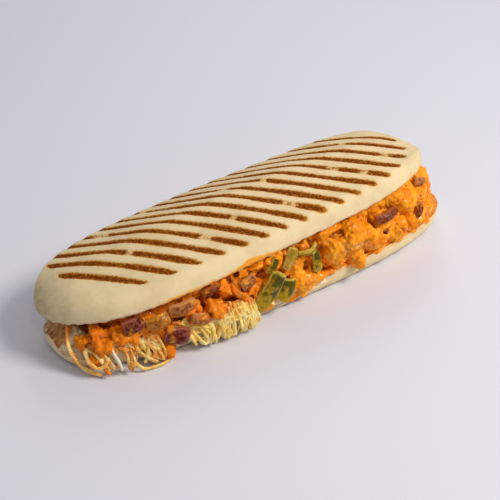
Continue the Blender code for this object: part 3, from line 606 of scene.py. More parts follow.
def build_lid(bread, crust, crumb):
    """The top half of the roll, with the grill's grooves pressed into its crust."""
    around, over_length, under_length = (int(size * MM / bread.grain) for size in (300, 95, 50))
    turns = np.linspace(math.pi, 0, 2000)
    x = LID_HALF_LENGTH * np.sign(np.cos(turns)) * np.abs(np.cos(turns)) ** (2 / LID_END_POWER)
    plan = evenly(np.stack([x, lid_half_width(x)], axis=1), around)
    across = np.linspace(-1, 1, 4000)
    profile = np.stack([across * LID_HALF_WIDTH, lid_top(0.0, across)], axis=1)
    over = evenly(profile, over_length)[:, 0] / LID_HALF_WIDTH
    under = np.linspace(1, -1, under_length)
    stations = plan[1:-1, 0]
    half = lid_half_width(stations)
    shares = np.concatenate([over, under * (1 - LID_LIP / LID_HALF_WIDTH)])
    grid_x = np.repeat(stations[:, None], len(shares), axis=1)
    grid_y = half[:, None] * shares[None, :]
    top = lid_top(stations[:, None], over[None, :])
    low = np.full((len(stations), len(under)), -LID_LIP_DEPTH) * np.minimum(half / (6 * MM), 1.0)[:, None]
    points = np.stack([grid_x, grid_y, np.concatenate([top, low], axis=1)], axis=2).reshape(-1, 3)
    loop = len(shares)
    faces = ring_faces(len(stations), loop, turned=True)
    # Both tips are closed with a fan
    left, right = len(points), len(points) + 1
    points = np.concatenate([points, [[-LID_HALF_LENGTH, 0, 0], [LID_HALF_LENGTH, 0, 0]]])
    last = (len(stations) - 1) * loop
    for j in range(loop):
        k = (j + 1) % loop
        faces.append((left, j, k))
        faces.append((right, last + k, last + j))
    piece = new_piece("lid_crust", points, faces, crust, crumb)
    face_outwards(piece)
    mesh = piece.data
    is_over = np.zeros(len(points), bool)
    is_over[:-2] = np.tile(np.arange(loop) < len(over), len(stations))
    is_over[-2:] = True
    height = points[:, 2]
    distance, burn = grill_marks(points[:, 0] / MM, points[:, 1] / MM)
    distance = np.where(is_over & (height > 1 * MM), distance, FAR)
    ragged = distance + 0.4 * noise_at(points, 2.4 * MM) + 0.25 * noise_at(points, 1.1 * MM, 9)
    width = bread.mark_width / MM / 2
    groove = smooth_step(width + 0.6, width - 0.5, ragged) * (0.35 + 0.65 * burn)
    # Dents and wrinkles of the crust, its pits and its grooves
    relief = 0.45 * MM * (noise_at(points, 30 * MM, 3) - 0.6) + 0.1 * MM * noise_at(points, 7 * MM, 5)
    relief += 0.06 * MM * noise_at(points, 2.1 * MM, 7)
    pits = smooth_step(0.45, 0.8, noise_at(points, 3.2 * MM, 13))
    relief -= 0.15 * MM * pits
    relief -= groove * (bread.mark_depth + 0.12 * MM * noise_at(points, 1.3 * MM, 17))
    # The torn cut face, and the crust's uneven lower edge
    crumbly = 0.7 * MM * noise_at(points, 3.5 * MM, 21) + 0.5 * MM * noise_at(points, 1.7 * MM, 23)
    relief = np.where(is_over, relief, -0.5 * MM + crumbly)
    near_edge = smooth_step(2.5 * MM, 0.0, height) * is_over
    relief += near_edge * 0.35 * MM * noise_at(points, 4 * MM, 31)
    set_points(mesh, points + normals_of(mesh) * relief[:, None])
    set_attribute(mesh, "mark_distance", distance)
    set_attribute(mesh, "mark_burn", burn)
    x, y = points[:, 0], points[:, 1]
    # Painted shade: the crust is darker towards the front of the left end, at the left tip and a little at
    # the right tip
    end = smooth_step(-70 * MM, -122 * MM, x) * smooth_step(0.2, 1.0, -y / LID_HALF_WIDTH)
    tip = 0.4 * smooth_step(-104 * MM, -118 * MM, x) + 0.1 * smooth_step(80 * MM, 105 * MM, x)
    set_attribute(mesh, "painted_shade", end * 0.14 + tip)
    # Sauce soaked up from the front edge: a long stretch at the left, and most of it in two places
    stain = smooth_step(-84 * MM, -66 * MM, x) * smooth_step(8 * MM, -4 * MM, x) * 0.85
    pool = np.exp(-((x + 18 * MM) / (9 * MM)) ** 2) + 0.7 * np.exp(-((x - 98 * MM) / (4 * MM)) ** 2)
    reach = (2.4 + 3.2 * pool + 1.2 * noise_at(points, 9 * MM, 41)) * MM
    front = is_over * (y < 0) * smooth_step(1.0, 0.0, height / np.maximum(reach, 0.3 * MM))
    set_attribute(mesh, "oil", np.clip(front * (stain + pool), 0, 1))
    set_attribute(mesh, "sauce", np.full(len(points), 0.35))
    for face in mesh.polygons:
        if not any(is_over[v] for v in face.vertices):
            face.material_index = 1
    mesh.transform(LID_PLACE)
    return settle(piece, "bread_crust", "bread_lid")


def base_half_width(x):
    share = np.minimum(np.abs(x) / (BASE_LENGTH / 2), 1.0)
    return BASE_WIDTH / 2 * (1 - share ** BASE_SQUARENESS) ** (1 / BASE_SQUARENESS)


def base_outline(turns):
    """The base's plan at these angles, with a half length and a half width of 1."""
    circle = np.stack([np.cos(turns), np.sin(turns)], axis=1)
    return np.sign(circle) * np.abs(circle) ** (2 / BASE_SQUARENESS)


def build_base(bread, crust, crumb):
    """The bottom half of the roll: its crust below and round the side, the torn cut face on top."""
    turns = np.linspace(0, math.tau, 4001)
    full = base_outline(turns) * (BASE_LENGTH / 2, BASE_WIDTH / 2)
    count = int(BASE_AROUND / bread.grain)
    lengths = np.concatenate([[0], np.cumsum(np.linalg.norm(np.diff(full, axis=0), axis=1))])
    wanted = np.linspace(0, lengths[-1], count, endpoint=False) + lengths[-1] / count / 2
    unit = base_outline(np.interp(wanted, lengths, turns))
    step = bread.grain
    deepest = BASE_WIDTH / 2 - 1.5 * MM
    below = [(inset, 0.0) for inset in np.arange(deepest, 5.6 * MM, -1.4 * step)]
    foot = evenly(np.array(BASE_FOOT) * MM, int(10 * MM / step))
    side_share = np.linspace(0, 1, 8)[1:-1]
    fine, coarse = np.arange(0.9 * MM, 12 * MM, step), np.arange(12 * MM, deepest, 2.2 * step)
    insides = np.concatenate([[0.0, 0.25 * MM], fine, coarse])
    rows = []
    x0, y0 = unit[:, 0] * BASE_LENGTH / 2, unit[:, 1] * BASE_WIDTH / 2
    corner = smooth_step(LOW_FROM, LOW_FULL, x0) * smooth_step(2 * MM, 12 * MM, np.abs(y0))
    plan = np.stack([x0, y0, np.zeros(count)], axis=1)
    uneven = 0.8 * MM * noise_at(plan, 25 * MM)
    rim = blend(BASE_RIM, LOW_RIM, corner) + uneven * (1 - corner)

    def ring(inset, height):
        x, y = unit[:, 0] * (BASE_LENGTH / 2 - inset), unit[:, 1] * (BASE_WIDTH / 2 - inset)
        rows.append(np.stack([x, y, np.broadcast_to(height, x.shape)], axis=1))

    for inset, height in below:
        ring(inset, height)
    for inset, height in foot:
        ring(inset, height)
    for share in side_share:
        ring(0.0, blend(FOOT_TOP, rim - 0.3 * MM, share))
    top_from = len(rows)
    for inside in insides:
        x, y = unit[:, 0] * (BASE_LENGTH / 2 - inside), unit[:, 1] * (BASE_WIDTH / 2 - inside)
        mound = smooth_step(MOUND_FROM, MOUND_FULL, x) * smooth_step(0, MOUND_SLOPE, inside)
        mound *= smooth_step(MOUND_FRONT, MOUND_BACK, y)
        level = blend(rim, BASE_RIM, smooth_step(0, MOUND_SLOPE, inside))
        ring(inside, blend(level, MOUND_TOP, mound))
    points = np.concatenate(rows)
    faces = ring_faces(len(rows), count)
    # The flat underside and the middle of the cut face are closed across
    for start in (0, (len(rows) - 1) * count):
        for j in range(count // 2 - 1):
            a, b = start + j, start + j + 1
            c, d = start + count - 2 - j, start + count - 1 - j
            faces.append((a, d, c, b) if start == 0 else (a, b, c, d))
    piece = new_piece("base_roll", points, faces, crust, crumb)
    face_outwards(piece)
    mesh = piece.data
    row = np.repeat(np.arange(len(rows)), count)
    on_top = row >= top_from
    x, y, z = points.T
    inset = np.concatenate([np.zeros(top_from * count), np.repeat(insides, count)])
    crumbly = 0.9 * MM * noise_at(points, 4.2 * MM, 2) + 0.6 * MM * noise_at(points, 1.9 * MM, 4) - 0.5 * MM
    crumbly *= smooth_step(0, 1.5 * MM, inset) * 0.7 + 0.3
    soft = 0.3 * MM * (noise_at(points, 20 * MM, 6) - 0.8)
    soft += 0.1 * MM * (noise_at(points, 3.5 * MM, 8) - 0.5)
    soft = soft * smooth_step(0.2 * MM, 3 * MM, z)
    relief = np.where(on_top, crumbly, soft)
    # A torn patch and a peeled line in the front's crust; the peeled line is a groove, painted darker for
    # the shade in it
    front = y < 0
    torn = front * smooth_step(4 * MM, 8 * MM, x) * smooth_step(27 * MM, 21 * MM, x)
    torn = torn * smooth_step(5.5 * MM, 8 * MM, z)
    relief -= torn * (0.7 * MM + 1.2 * MM * noise_at(points, 2.6 * MM, 33))
    line = 3.6 * MM + 0.9 * MM * noise_at(plan, 9 * MM, 35)[np.arange(len(points)) % count]
    peeled_shade = front * np.exp(-((z - line) / (0.7 * MM)) ** 2)
    peeled_shade *= smooth_step(-24 * MM, -18 * MM, x) * smooth_step(0, -6 * MM, x) * (~on_top)
    relief -= peeled_shade * 1.1 * MM
    set_points(mesh, points + normals_of(mesh) * relief[:, None])
    set_attribute(mesh, "torn", torn)
    set_attribute(mesh, "peeled_shade", peeled_shade)
    # Guessed grill marks on the underside: the lid's, turned over and a little narrower
    distance, burn = grill_marks(-x / MM * 0.97, y / MM * 0.95)
    under = z < 1.2 * MM
    set_attribute(mesh, "mark_distance", np.where(under, distance, FAR))
    set_attribute(mesh, "mark_burn", burn)
    # Painted shade: the crust darkens towards the floor, over its lowest 5 mm
    set_attribute(mesh, "painted_shade", smooth_step(5 * MM, 0, z) * 0.4)
    edge_height = np.tile(rim, len(rows))
    fringe = smooth_step(edge_height - 4.2 * MM, edge_height - 0.4 * MM, z)
    fringe *= smooth_step(-104 * MM, -98 * MM, x)
    fringe *= 0.55 + 0.45 * noise_at(points, 14 * MM, 12)
    set_attribute(mesh, "oil", np.where(on_top, 0, np.clip(fringe, 0, 1)))
    left = smooth_step(-108 * MM, -116 * MM, x)
    soaked = smooth_step(6 * MM, 13 * MM, z) * smooth_step(-14 * MM, -4 * MM, y) * 0.6 + 0.35
    set_attribute(mesh, "sauce", blend(0.9, soaked, left))
    set_attribute(mesh, "toasted", left)
    for face in mesh.polygons:
        if all(on_top[v] for v in face.vertices):
            face.material_index = 1
    return settle(piece, "bread_crumb", "bread_base")


# Filling

def lid_edge_y(x, side):
    """Where the lid's cut edge stands over x, on the side -1 (front) or 1 (back)."""
    local = (x - LID_CENTRE.x) / math.cos(LID_PITCH)
    local = max(min(local, LID_HALF_LENGTH * 0.985), -LID_HALF_LENGTH)
    half = max(float(lid_half_width(local)) - LID_LIP, 8 * MM)
    return (LID_PLACE @ Vector((local, side * half, -LID_LIP_DEPTH))).y


def face_point(x, z, side):
    """Point of the open face that runs from the base's cut edge to the lid's."""
    low_y = side * float(base_half_width(x))
    high_y = lid_edge_y(x, side)
    high_z = lid_under(x, high_y)
    share = (z - BASE_RIM) / (high_z - BASE_RIM)
    return Vector((x, blend(low_y, high_y, share), z))


def face_frame(x, z, side, out=0.0):
    """Matrix on the open face: its X runs along the roll, its Y up the face and its Z out of it."""
    step = 1.0 * MM
    here = face_point(x, z, side)
    along = (face_point(x + step, z, side) - face_point(x - step, z, side)).normalized() * -side
    up = face_point(x, z + step, side) - here
    normal = along.cross(up).normalized()
    up = normal.cross(along)
    axes = Matrix((along, up, normal)).transposed().to_4x4()
    return Matrix.Translation(here + normal * out) @ axes


def copy_node(node, name, material):
    """A copy of a node's mesh with its loose triangles joined."""
    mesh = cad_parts[node].data.copy()
    mesh.name = name
    mesh.materials.clear()
    mesh.materials.append(material)
    bm = bmesh.new()
    bm.from_mesh(mesh)
    bmesh.ops.remove_doubles(bm, verts=bm.verts, dist=0.001 * MM)
    bm.to_mesh(mesh)
    bm.free()
    return placed(name, mesh)


def cells_at(points, size, seed):
    """How far each point is from its cell's edge, in cell sizes, and a random number for the cell."""
    edge, number = [], []
    for p in points / size + seed:
        distances, centres = noise.voronoi(Vector(p))
        edge.append(distances[1] - distances[0])
        centre = centres[0]
        number.append(math.sin(centre.x * 12.9 + centre.y * 78.2 + centre.z * 37.7) * 43758.5 % 1.0)
    return np.array(edge), np.array(number)


def smoothed(mesh, points, rounds):
    """The points moved to their neighbours' mean, this many times."""
    pairs = np.empty(len(mesh.edges) * 2, np.int32)
    mesh.edges.foreach_get("vertices", pairs)
    first, second = pairs.reshape(-1, 2).T
    neighbours = np.maximum(np.bincount(pairs, minlength=len(points)), 1)
    moved = points.copy()
    for _ in range(rounds):
        for axis in range(3):
            total = np.bincount(first, moved[second, axis], len(points))
            total += np.bincount(second, moved[first, axis], len(points))
            moved[:, axis] = total / neighbours
    return moved


# Gaps between the lumps at the front, dented and darkened with painted shade: x, height, half width and
# half height in mm
SHADED_GAPS = ((12.5, 27.0, 2.2, 7.0), (55.0, 29.0, 1.6, 6.5), (27.0, 35.5, 5.0, 1.6))


def build_chicken(filling, material):
    """The sauced chicken: the node's chunks, remeshed finely, with torn fibres and lumps of sauce."""
    piece = copy_node("chicken_filling", "chicken_mix", material)
    remeshed(piece, filling.voxel * (1.0), 4)
    mesh = piece.data
    points = points_of(mesh)
    # The chunks at the right are one fine-grained mass, those at the left are single ones
    mass = smooth_step(8 * MM, 26 * MM, points[:, 0])
    set_points(mesh, blend(points, smoothed(mesh, points, 24), mass[:, None]))
    points, normals = points_of(mesh), normals_of(mesh)
    warped = points + 2.0 * MM * np.stack([noise_at(points, 7 * MM, s) for s in (1, 5, 9)], axis=1)
    edge, number = cells_at(warped, 9.5 * MM, 3.0)
    seam = smooth_step(0.0, 0.3, edge)
    # Fibres run in each chunk's own direction
    angle = number * math.tau
    grain_x = warped[:, 0] * np.cos(angle) + warped[:, 2] * np.sin(angle)
    grain_z = -warped[:, 0] * np.sin(angle) + warped[:, 2] * np.cos(angle)
    fibres = noise_at(np.stack([grain_x / 4, warped[:, 1], grain_z], axis=1), 1.7 * MM, 7)
    torn = smooth_step(0.35, 0.75, number)
    # Fibres, granules and grit are drawn at 1.5 to 2.1 mm, coarser than real ones, so that they show
    folds = np.abs(noise_at(warped, 6.5 * MM, 15))
    curds = np.abs(noise_at(warped, 2.9 * MM, 11))
    grit = noise_at(points, 1.5 * MM, 19)
    granules = np.abs(noise_at(points, 2.1 * MM, 27))
    relief = 0.8 * MM * noise_at(points, 13 * MM, 2) + 0.9 * MM * mass
    relief += blend(2.2, 1.3, mass) * MM * (folds - 0.22) + blend(1.9, 1.2, mass) * MM * (curds - 0.2)
    relief += blend(0.6, 1.5, mass) * MM * (granules - 0.2)
    relief += 0.6 * MM * fibres * torn + 0.5 * MM * (seam - 0.8) * torn + 0.35 * MM * grit
    # The gaps are dented, and darkened below with painted shade
    gap = np.zeros(len(points))
    for x, z, wide, high in SHADED_GAPS:
        off = ((points[:, 0] / MM - x) / wide) ** 2 + ((points[:, 2] / MM - z) / high) ** 2
        gap += np.exp(-off) * (points[:, 1] < 0)
    relief -= 2.6 * MM * gap
    # A bare chunk in the middle of the right half's front
    off = ((points[:, 0] - 42 * MM) / (9 * MM)) ** 2 + ((points[:, 2] - 27 * MM) / (6 * MM)) ** 2
    broad = np.exp(-off) * (points[:, 1] < 0)
    set_points(mesh, points + normals * relief[:, None])
    moved = points_of(mesh)
    # Painted shade: the sauce is darkened in the recesses, in the gaps and between the right half's
    # granules
    depth = ((smoothed(mesh, moved, 14) - moved) * normals_of(mesh)).sum(axis=1)
    between = mass * np.clip(1 - granules / 0.16, 0, 1) * 0.3
    set_attribute(mesh, "crevice_shade", np.clip(depth / (0.9 * MM) + gap + between, 0, 1))
    # Redder, darker sauce towards the left end, partly painted shade
    set_attribute(mesh, "redder_and_shaded", smooth_step(10 * MM, -50 * MM, points[:, 0]))
    bare = np.clip(number * 1.2 - 0.6 + 0.3 * fibres, 0, 1) + 0.8 * broad
    set_attribute(mesh, "bare", bare * np.clip(1 + depth / MM, 0, 1))
    return settle(piece, "sauced_chicken", "chicken_filling")


# Where the sauce runs down the base's front: x, half width and how far in mm
RUNS = ((-20.0, 8.0, 5.0), (3.5, 9.5, 7.6))


def build_fringe(material):
    """Sauce squeezed out on the base's cut edge: a lumpy bead that closes the gap under the chicken."""
    unit = base_outline(np.linspace(-math.pi, math.pi, 3000))
    inset = 2.2 * MM + 3.0 * MM * smooth_step(0.80, 0.95, unit[:, 0])
    outline = unit * np.stack([BASE_LENGTH / 2 - inset, BASE_WIDTH / 2 - inset], axis=1)
    outline = outline[outline[:, 0] > -34 * MM]
    line = evenly(outline, 500)
    line = np.concatenate([line, np.full((len(line), 1), BASE_RIM - 0.6 * MM)], axis=1)
    ahead = np.gradient(line, axis=0)
    ahead /= np.linalg.norm(ahead, axis=1)[:, None]
    aside = np.stack([ahead[:, 1], -ahead[:, 0], np.zeros(len(line))], axis=1)
    sides = 18
    ends = np.minimum(np.arange(len(line)), np.arange(len(line))[::-1]) / 14
    thick = (1.3 + 1.5 * noise_at(line, 8 * MM, 3) + 0.6 * noise_at(line, 4 * MM, 5)) * MM
    thick = thick * np.minimum(ends, 1) ** 0.5
    thick = np.maximum(thick, 0.15 * MM)
    run, fall = np.zeros(len(line)), np.zeros(len(line))
    for x, wide, far in RUNS:
        here = np.exp(-((line[:, 0] / MM - x) / wide) ** 4) * (line[:, 1] < 0) * np.minimum(ends, 1)
        run += here
        fall += here * far * MM
    fall *= 1 + 0.45 * noise_at(line, 5 * MM, 9)
    points = []
    for k in range(sides):
        angle = math.tau * k / sides
        out = math.cos(angle) * 1.25 * thick * (1 - 0.35 * run) + 1.9 * MM * run
        rise = math.sin(angle) * thick * 1.1 - fall * max(0.0, -math.sin(angle))
        points.append(line + aside * out[:, None] + np.outer(rise, (0, 0, 1)))
    points = np.stack(points, axis=1).reshape(-1, 3)
    faces = ring_faces(len(line), sides)
    faces.append(tuple(range(sides)))
    faces.append(tuple(range(len(points) - 1, len(points) - sides - 1, -1)))
    piece = new_piece("sauce_fringe", points, faces, material)
    face_outwards(piece)
    normals = normals_of(piece.data)
    relief = 0.7 * MM * (np.abs(noise_at(points, 2.6 * MM, 6)) - 0.2)
    relief += 0.25 * MM * noise_at(points, 1.3 * MM, 8)
    set_points(piece.data, points + normals * relief[:, None])
    set_attribute(piece.data, "crevice_shade", np.zeros(len(points)))
    set_attribute(piece.data, "redder_and_shaded", np.full(len(points), 0.15))
    set_attribute(piece.data, "bare", np.full(len(points), 0.1))
    return settle(piece, "sauced_chicken")


# Shreds chosen one by one: x, top, bottom, how far out, drift along the roll and curl in mm
FRONT_SHREDS = (
    (-115, 13, 1.8, 5, 7, 0.8), (-111, 12, 3, 4, 4, -0.5), (-107, 14, 3, 5, 2, 0.5),
    (-102, 12, 2.5, 3, 2, 0.8), (-98, 12, 5, 2, -2, 0.6), (-94, 9, 1.8, 5, 9, 0.8),
    (-92, 13, 5, 2, 3, 0.6), (-90, 13, 3.5, 2.5, -3, 0.5), (-87, 13, 4, 2, 3, -0.4),
    (-84, 15, 5, 2, 1, 0.6),
    (-81, 13, 4.5, 2, 2, 0.4), (-78, 12, 5, 2, -1, 0.4),
    (-70, 14, 4, 3, 5, 0.5), (-66, 13, 3, 3, 6, 0.4), (-62, 14, 3, 3, 4, 0.4),
)
WHITE_SHRED = -107.0 * MM
# Long strands that lie free round the left end, in mm
LOOSE_STRANDS = (
    ((-116, -5, 20.4), (-120.5, -9, 20.6), (-123.5, -14, 15), (-123, -18.5, 9), (-121, -22.5, 5),
     (-117.5, -27, 2.6), (-114, -31, 2)),
    ((-118, -21, 13), (-118.5, -26, 9), (-116, -30, 6.5), (-112.5, -31.5, 8), (-110, -30.5, 11)),
    ((-99, -32, 10), (-98, -36, 6), (-95, -38.5, 2.2), (-90, -39.5, 1.5), (-84, -40, 1.5), (-79, -39, 2)),
)
BUNDLE_LEFT, BUNDLE_RIGHT = -59.0, -27.5        # mm, where the shreds hang in a bundle
BUNDLE_SHREDS, LYING_SHREDS = 40, 230


def shred_path(x, top, bottom, out, drift, curl, side=-1):
    """A shred that leaves the layer at its edge and hangs down outside it."""
    start = face_point(x, BASE_RIM, side)
    points = [start + Vector((-0.3 * drift, -side * 4 * MM, min(top, 15 * MM) - BASE_RIM))]
    steps = 10
    for i in range(steps + 1):
        share = i / steps
        swing = math.sin(share * math.pi) * out * 0.5
        bend = curl * math.sin(share * 2.4 + x * 900)
        y = start.y + side * (1.3 * MM + out * share + swing)
        points.append(Vector((x + drift * share + bend, y, blend(top, bottom, share ** 1.15))))
    return points


def loop_path(x, top, bottom, out, width, turn):
    """A long shred that hangs from the layer, turns over above the floor and curls back up."""
    points = []
    lowest = 0.62
    for i in range(15):
        share = i / 14
        down = math.sin(min(share / lowest, 1.0) * math.pi / 2)
        rise = max(share - lowest, 0.0) / (1 - lowest)
        z = blend(top, bottom, down) + rise ** 1.5 * turn
        start = face_point(x, BASE_RIM, -1)
        y = start.y - 0.9 * MM - out * math.sin(share * math.pi * 0.8)
        points.append(Vector((x + width * share ** 1.6, y, z)))
    inside = points[0] + Vector((-0.1 * width, 4 * MM, -0.5 * MM))
    return [inside] + points


def shred_paths(rng):
    """The chosen shreds, the hanging bundle, the loose ones behind and those that lie along the layer."""
    paths = [shred_path(*(size * MM for size in row)) for row in FRONT_SHREDS]
    paths += [[Vector(point) * MM for point in strand] for strand in LOOSE_STRANDS]
    for i in range(BUNDLE_SHREDS):
        x = blend(BUNDLE_LEFT, BUNDLE_RIGHT, (i + rng.uniform(0, 1)) / BUNDLE_SHREDS)
        middle = 1 - abs(x - (BUNDLE_LEFT + BUNDLE_RIGHT) / 2) / (BUNDLE_RIGHT - BUNDLE_LEFT)
        depth = rng.uniform(0.6, 2.2 + 2.2 * middle)
        top, bottom = 13 + 7 * middle + rng.uniform(-2, 2), rng.uniform(1.6, 5.0)
        if i % 5 < 2:
            sizes = (x, top, bottom, depth, rng.uniform(-5, 5), rng.uniform(1, 6))
            paths.append(loop_path(*(size * MM for size in sizes)))
        else:
            sizes = (x, top, bottom, depth, rng.uniform(-4, 4), rng.uniform(-0.7, 0.7))
            paths.append(shred_path(*(size * MM for size in sizes)))
    x = BUNDLE_LEFT - 38
    while x < BUNDLE_RIGHT + 14:
        sizes = (x, 15, rng.uniform(5, 10), 2.0, rng.uniform(-7, 7), rng.uniform(-0.8, 0.8))
        paths.append(shred_path(*(size * MM for size in sizes), side=1))
        x += rng.uniform(3, 8)
    for i in range(LYING_SHREDS):
        side = rng.choice((-1, -1, 1))
        x, z = rng.uniform(-112, -6) * MM, rng.uniform(12.0, 16.4) * MM
        place = face_frame(x, z, side, rng.uniform(-0.9, 0.8) * MM)
        length, turn = rng.uniform(6, 14) * MM, math.radians(rng.uniform(-50, 50))
        bend = rng.uniform(-2.0, 2.0) * MM
        path = []
        for j in range(7):
            u = j / 6 - 0.5
            local = Vector((u * length, bend * (1 - 4 * u * u), 0.4 * MM * math.sin(j * 1.3 + i)))
            path.append(place @ (Matrix.Rotation(turn, 3, "Z") @ local))
        paths.append(path)
    return paths


def strip_tree(material):
    """Geometry Nodes that lay a grated strip along each line of a mesh."""
    tree = bpy.data.node_groups.new("grated_strips", "GeometryNodeTree")
    tree.interface.new_socket("Lines", in_out="INPUT", socket_type="NodeSocketGeometry")
    for name in ("Width", "Thickness", "Spacing"):
        tree.interface.new_socket(name, in_out="INPUT", socket_type="NodeSocketFloat")
    tree.interface.new_socket("Strips", in_out="OUTPUT", socket_type="NodeSocketGeometry")
    given = tree.nodes.new("NodeGroupInput").outputs
    lines = add(tree, "GeometryNodeMeshToCurve", {"Mesh": given["Lines"]})
    lines = add(tree, "GeometryNodeCurveSplineType", {"Curve": lines}, spline_type="CATMULL_ROM")
    even = {"Curve": lines, "Length": given["Spacing"]}
    lines = add(tree, "GeometryNodeResampleCurve", even, mode="LENGTH")
    # A slow twist along the strips
    turn = add(tree, MATH, (add(tree, "GeometryNodeInputIndex"), 0.02), operation="MULTIPLY")
    turn = add(tree, MATH, (turn,), operation="SINE")
    turn = add(tree, MATH, (turn, 1.6), operation="MULTIPLY")
    lines = add(tree, "GeometryNodeSetCurveTilt", {"Curve": lines, "Tilt": turn})
    # Uneven thickness, and a thinner end
    look = {"Vector": add(tree, "GeometryNodeInputPosition"), "Scale": 1 / (3.5 * MM)}
    uneven = add(tree, RANGE, (add(tree, NOISE, look, "Fac"), 0.3, 0.7, 0.75, 1.2), **SMOOTH)
    share = add(tree, "GeometryNodeSplineParameter", out="Factor")
    end = add(tree, MATH, (share, 0.5), operation="SUBTRACT")
    end = add(tree, RANGE, (end, 0.5, 0.42), **SMOOTH)
    end = add(tree, RANGE, (end, 0.0, 1.0, 0.6, 1.0), **SMOOTH)
    size = add(tree, MATH, (uneven, end), operation="MULTIPLY")
    lines = add(tree, "GeometryNodeSetCurveRadius", {"Curve": lines, "Radius": size})
    # The strip's cross-section, with rounded corners
    sides = {"Width": given["Width"], "Height": given["Thickness"]}
    profile = add(tree, "GeometryNodeCurvePrimitiveQuadrilateral", sides)
    corner = add(tree, MATH, (given["Thickness"], 0.42), operation="MULTIPLY")
    rounded = {"Curve": profile, "Radius": corner, "Count": 2}
    profile = add(tree, "GeometryNodeFilletCurve", rounded, mode="POLY")
    radius = add(tree, "GeometryNodeInputRadius")
    sweep = {"Curve": lines, "Profile Curve": profile, "Scale": radius, "Fill Caps": True}
    strips = add(tree, "GeometryNodeCurveToMesh", sweep)
    strips = add(tree, "GeometryNodeRealizeInstances", {"Geometry": strips})
    strips = add(tree, "GeometryNodeSetMaterial", {"Geometry": strips, "Material": material})
    result = tree.nodes.new("NodeGroupOutput")
    tree.links.new(strips, result.inputs["Strips"])
    return tree


def run_tree(name, tree, lines, values, material):
    """A plain mesh from a node tree over a mesh of lines."""
    points, edges = [], []
    for line in lines:
        start = len(points)
        points += [tuple(p) for p in line]
        edges += [(start + i, start + i + 1) for i in range(len(line) - 1)]
    mesh = bpy.data.meshes.new(name)
    mesh.from_pydata(points, edges, [])
    mesh.materials.append(material)
    piece = placed(name, mesh)
    modifier = piece.modifiers.new("nodes", "NODES")
    modifier.node_group = tree
    for item in tree.interface.items_tree:
        if item.in_out == "INPUT" and item.name in values:
            modifier[item.identifier] = values[item.name]
    apply_modifiers(piece)
    return piece


def build_cheese(cheese, material):
    """Grated cheese: strips over a core, which is the node's own layer a little sunk."""
    core = copy_node("cheese_shreds", "cheese_core", material)
    remeshed(core, 0.9 * MM, 3)
    points, normals = points_of(core.data), normals_of(core.data)
    strands = noise_at(points * (0.35, 0.35, 1.0), 1.6 * MM, 3)
    relief = -1.1 * MM + 0.45 * MM * strands
    set_points(core.data, points + normals * relief[:, None])
    # The core takes 0.2 more sauce colour than the strips, so it reads darker between them: partly sauce,
    # partly painted shade
    set_attribute(core.data, "sauce", strip_sauce(points) + 0.2)
    paths = lifted(shred_paths(random.Random(11)), core)
    values = {"Width": cheese.strip_width, "Thickness": cheese.strip_width * 0.62, "Spacing": 1.0 * MM}
    strips = run_tree("cheese_strips", strip_tree(material), paths, values, material)
    points = points_of(strips.data)
    set_attribute(strips.data, "sauce", strip_sauce(points))
    white = smooth_step(3.0 * MM, 2.0 * MM, np.abs(points[:, 0] - WHITE_SHRED - 1 * MM))
    set_attribute(strips.data, "white", white * (points[:, 1] < -31 * MM))
    settle(strips, "grated_cheese")
    return settle(core, "grated_cheese", "cheese_shreds")


def lifted(paths, core):
    """The paths with the points that hang in front of the base brought out of the core's open side."""
    mesh = core.data
    solid = BVHTree.FromPolygons([v.co for v in mesh.vertices], [p.vertices for p in mesh.polygons])
    for path in paths:
        moved = [0.0]
        for point in path[1:]:
            hit = solid.ray_cast(Vector((point.x, -80 * MM, point.z)), Vector((0, 1, 0)))[0]
            inside = point.y - hit.y + 0.7 * MM if hit else 0.0
            moved.append(inside if 0 < inside < 7 * MM else 0.0)
        for _ in range(4):
            middle = [(a + b + c) / 3 for a, b, c in zip(moved, moved[1:], moved[2:])]
            moved = [moved[0]] + middle + [moved[-1]]
        for point, shift in zip(path, moved):
            point.y -= shift
    return paths


def strip_sauce(points):
    """How much sauce the cheese has taken up: most under the chicken, least where it hangs free."""
    left = smooth_step(-72 * MM, -84 * MM, points[:, 0])
    return 0.15 + 0.35 * left + 0.55 * smooth_step(13 * MM, 21 * MM, points[:, 2])


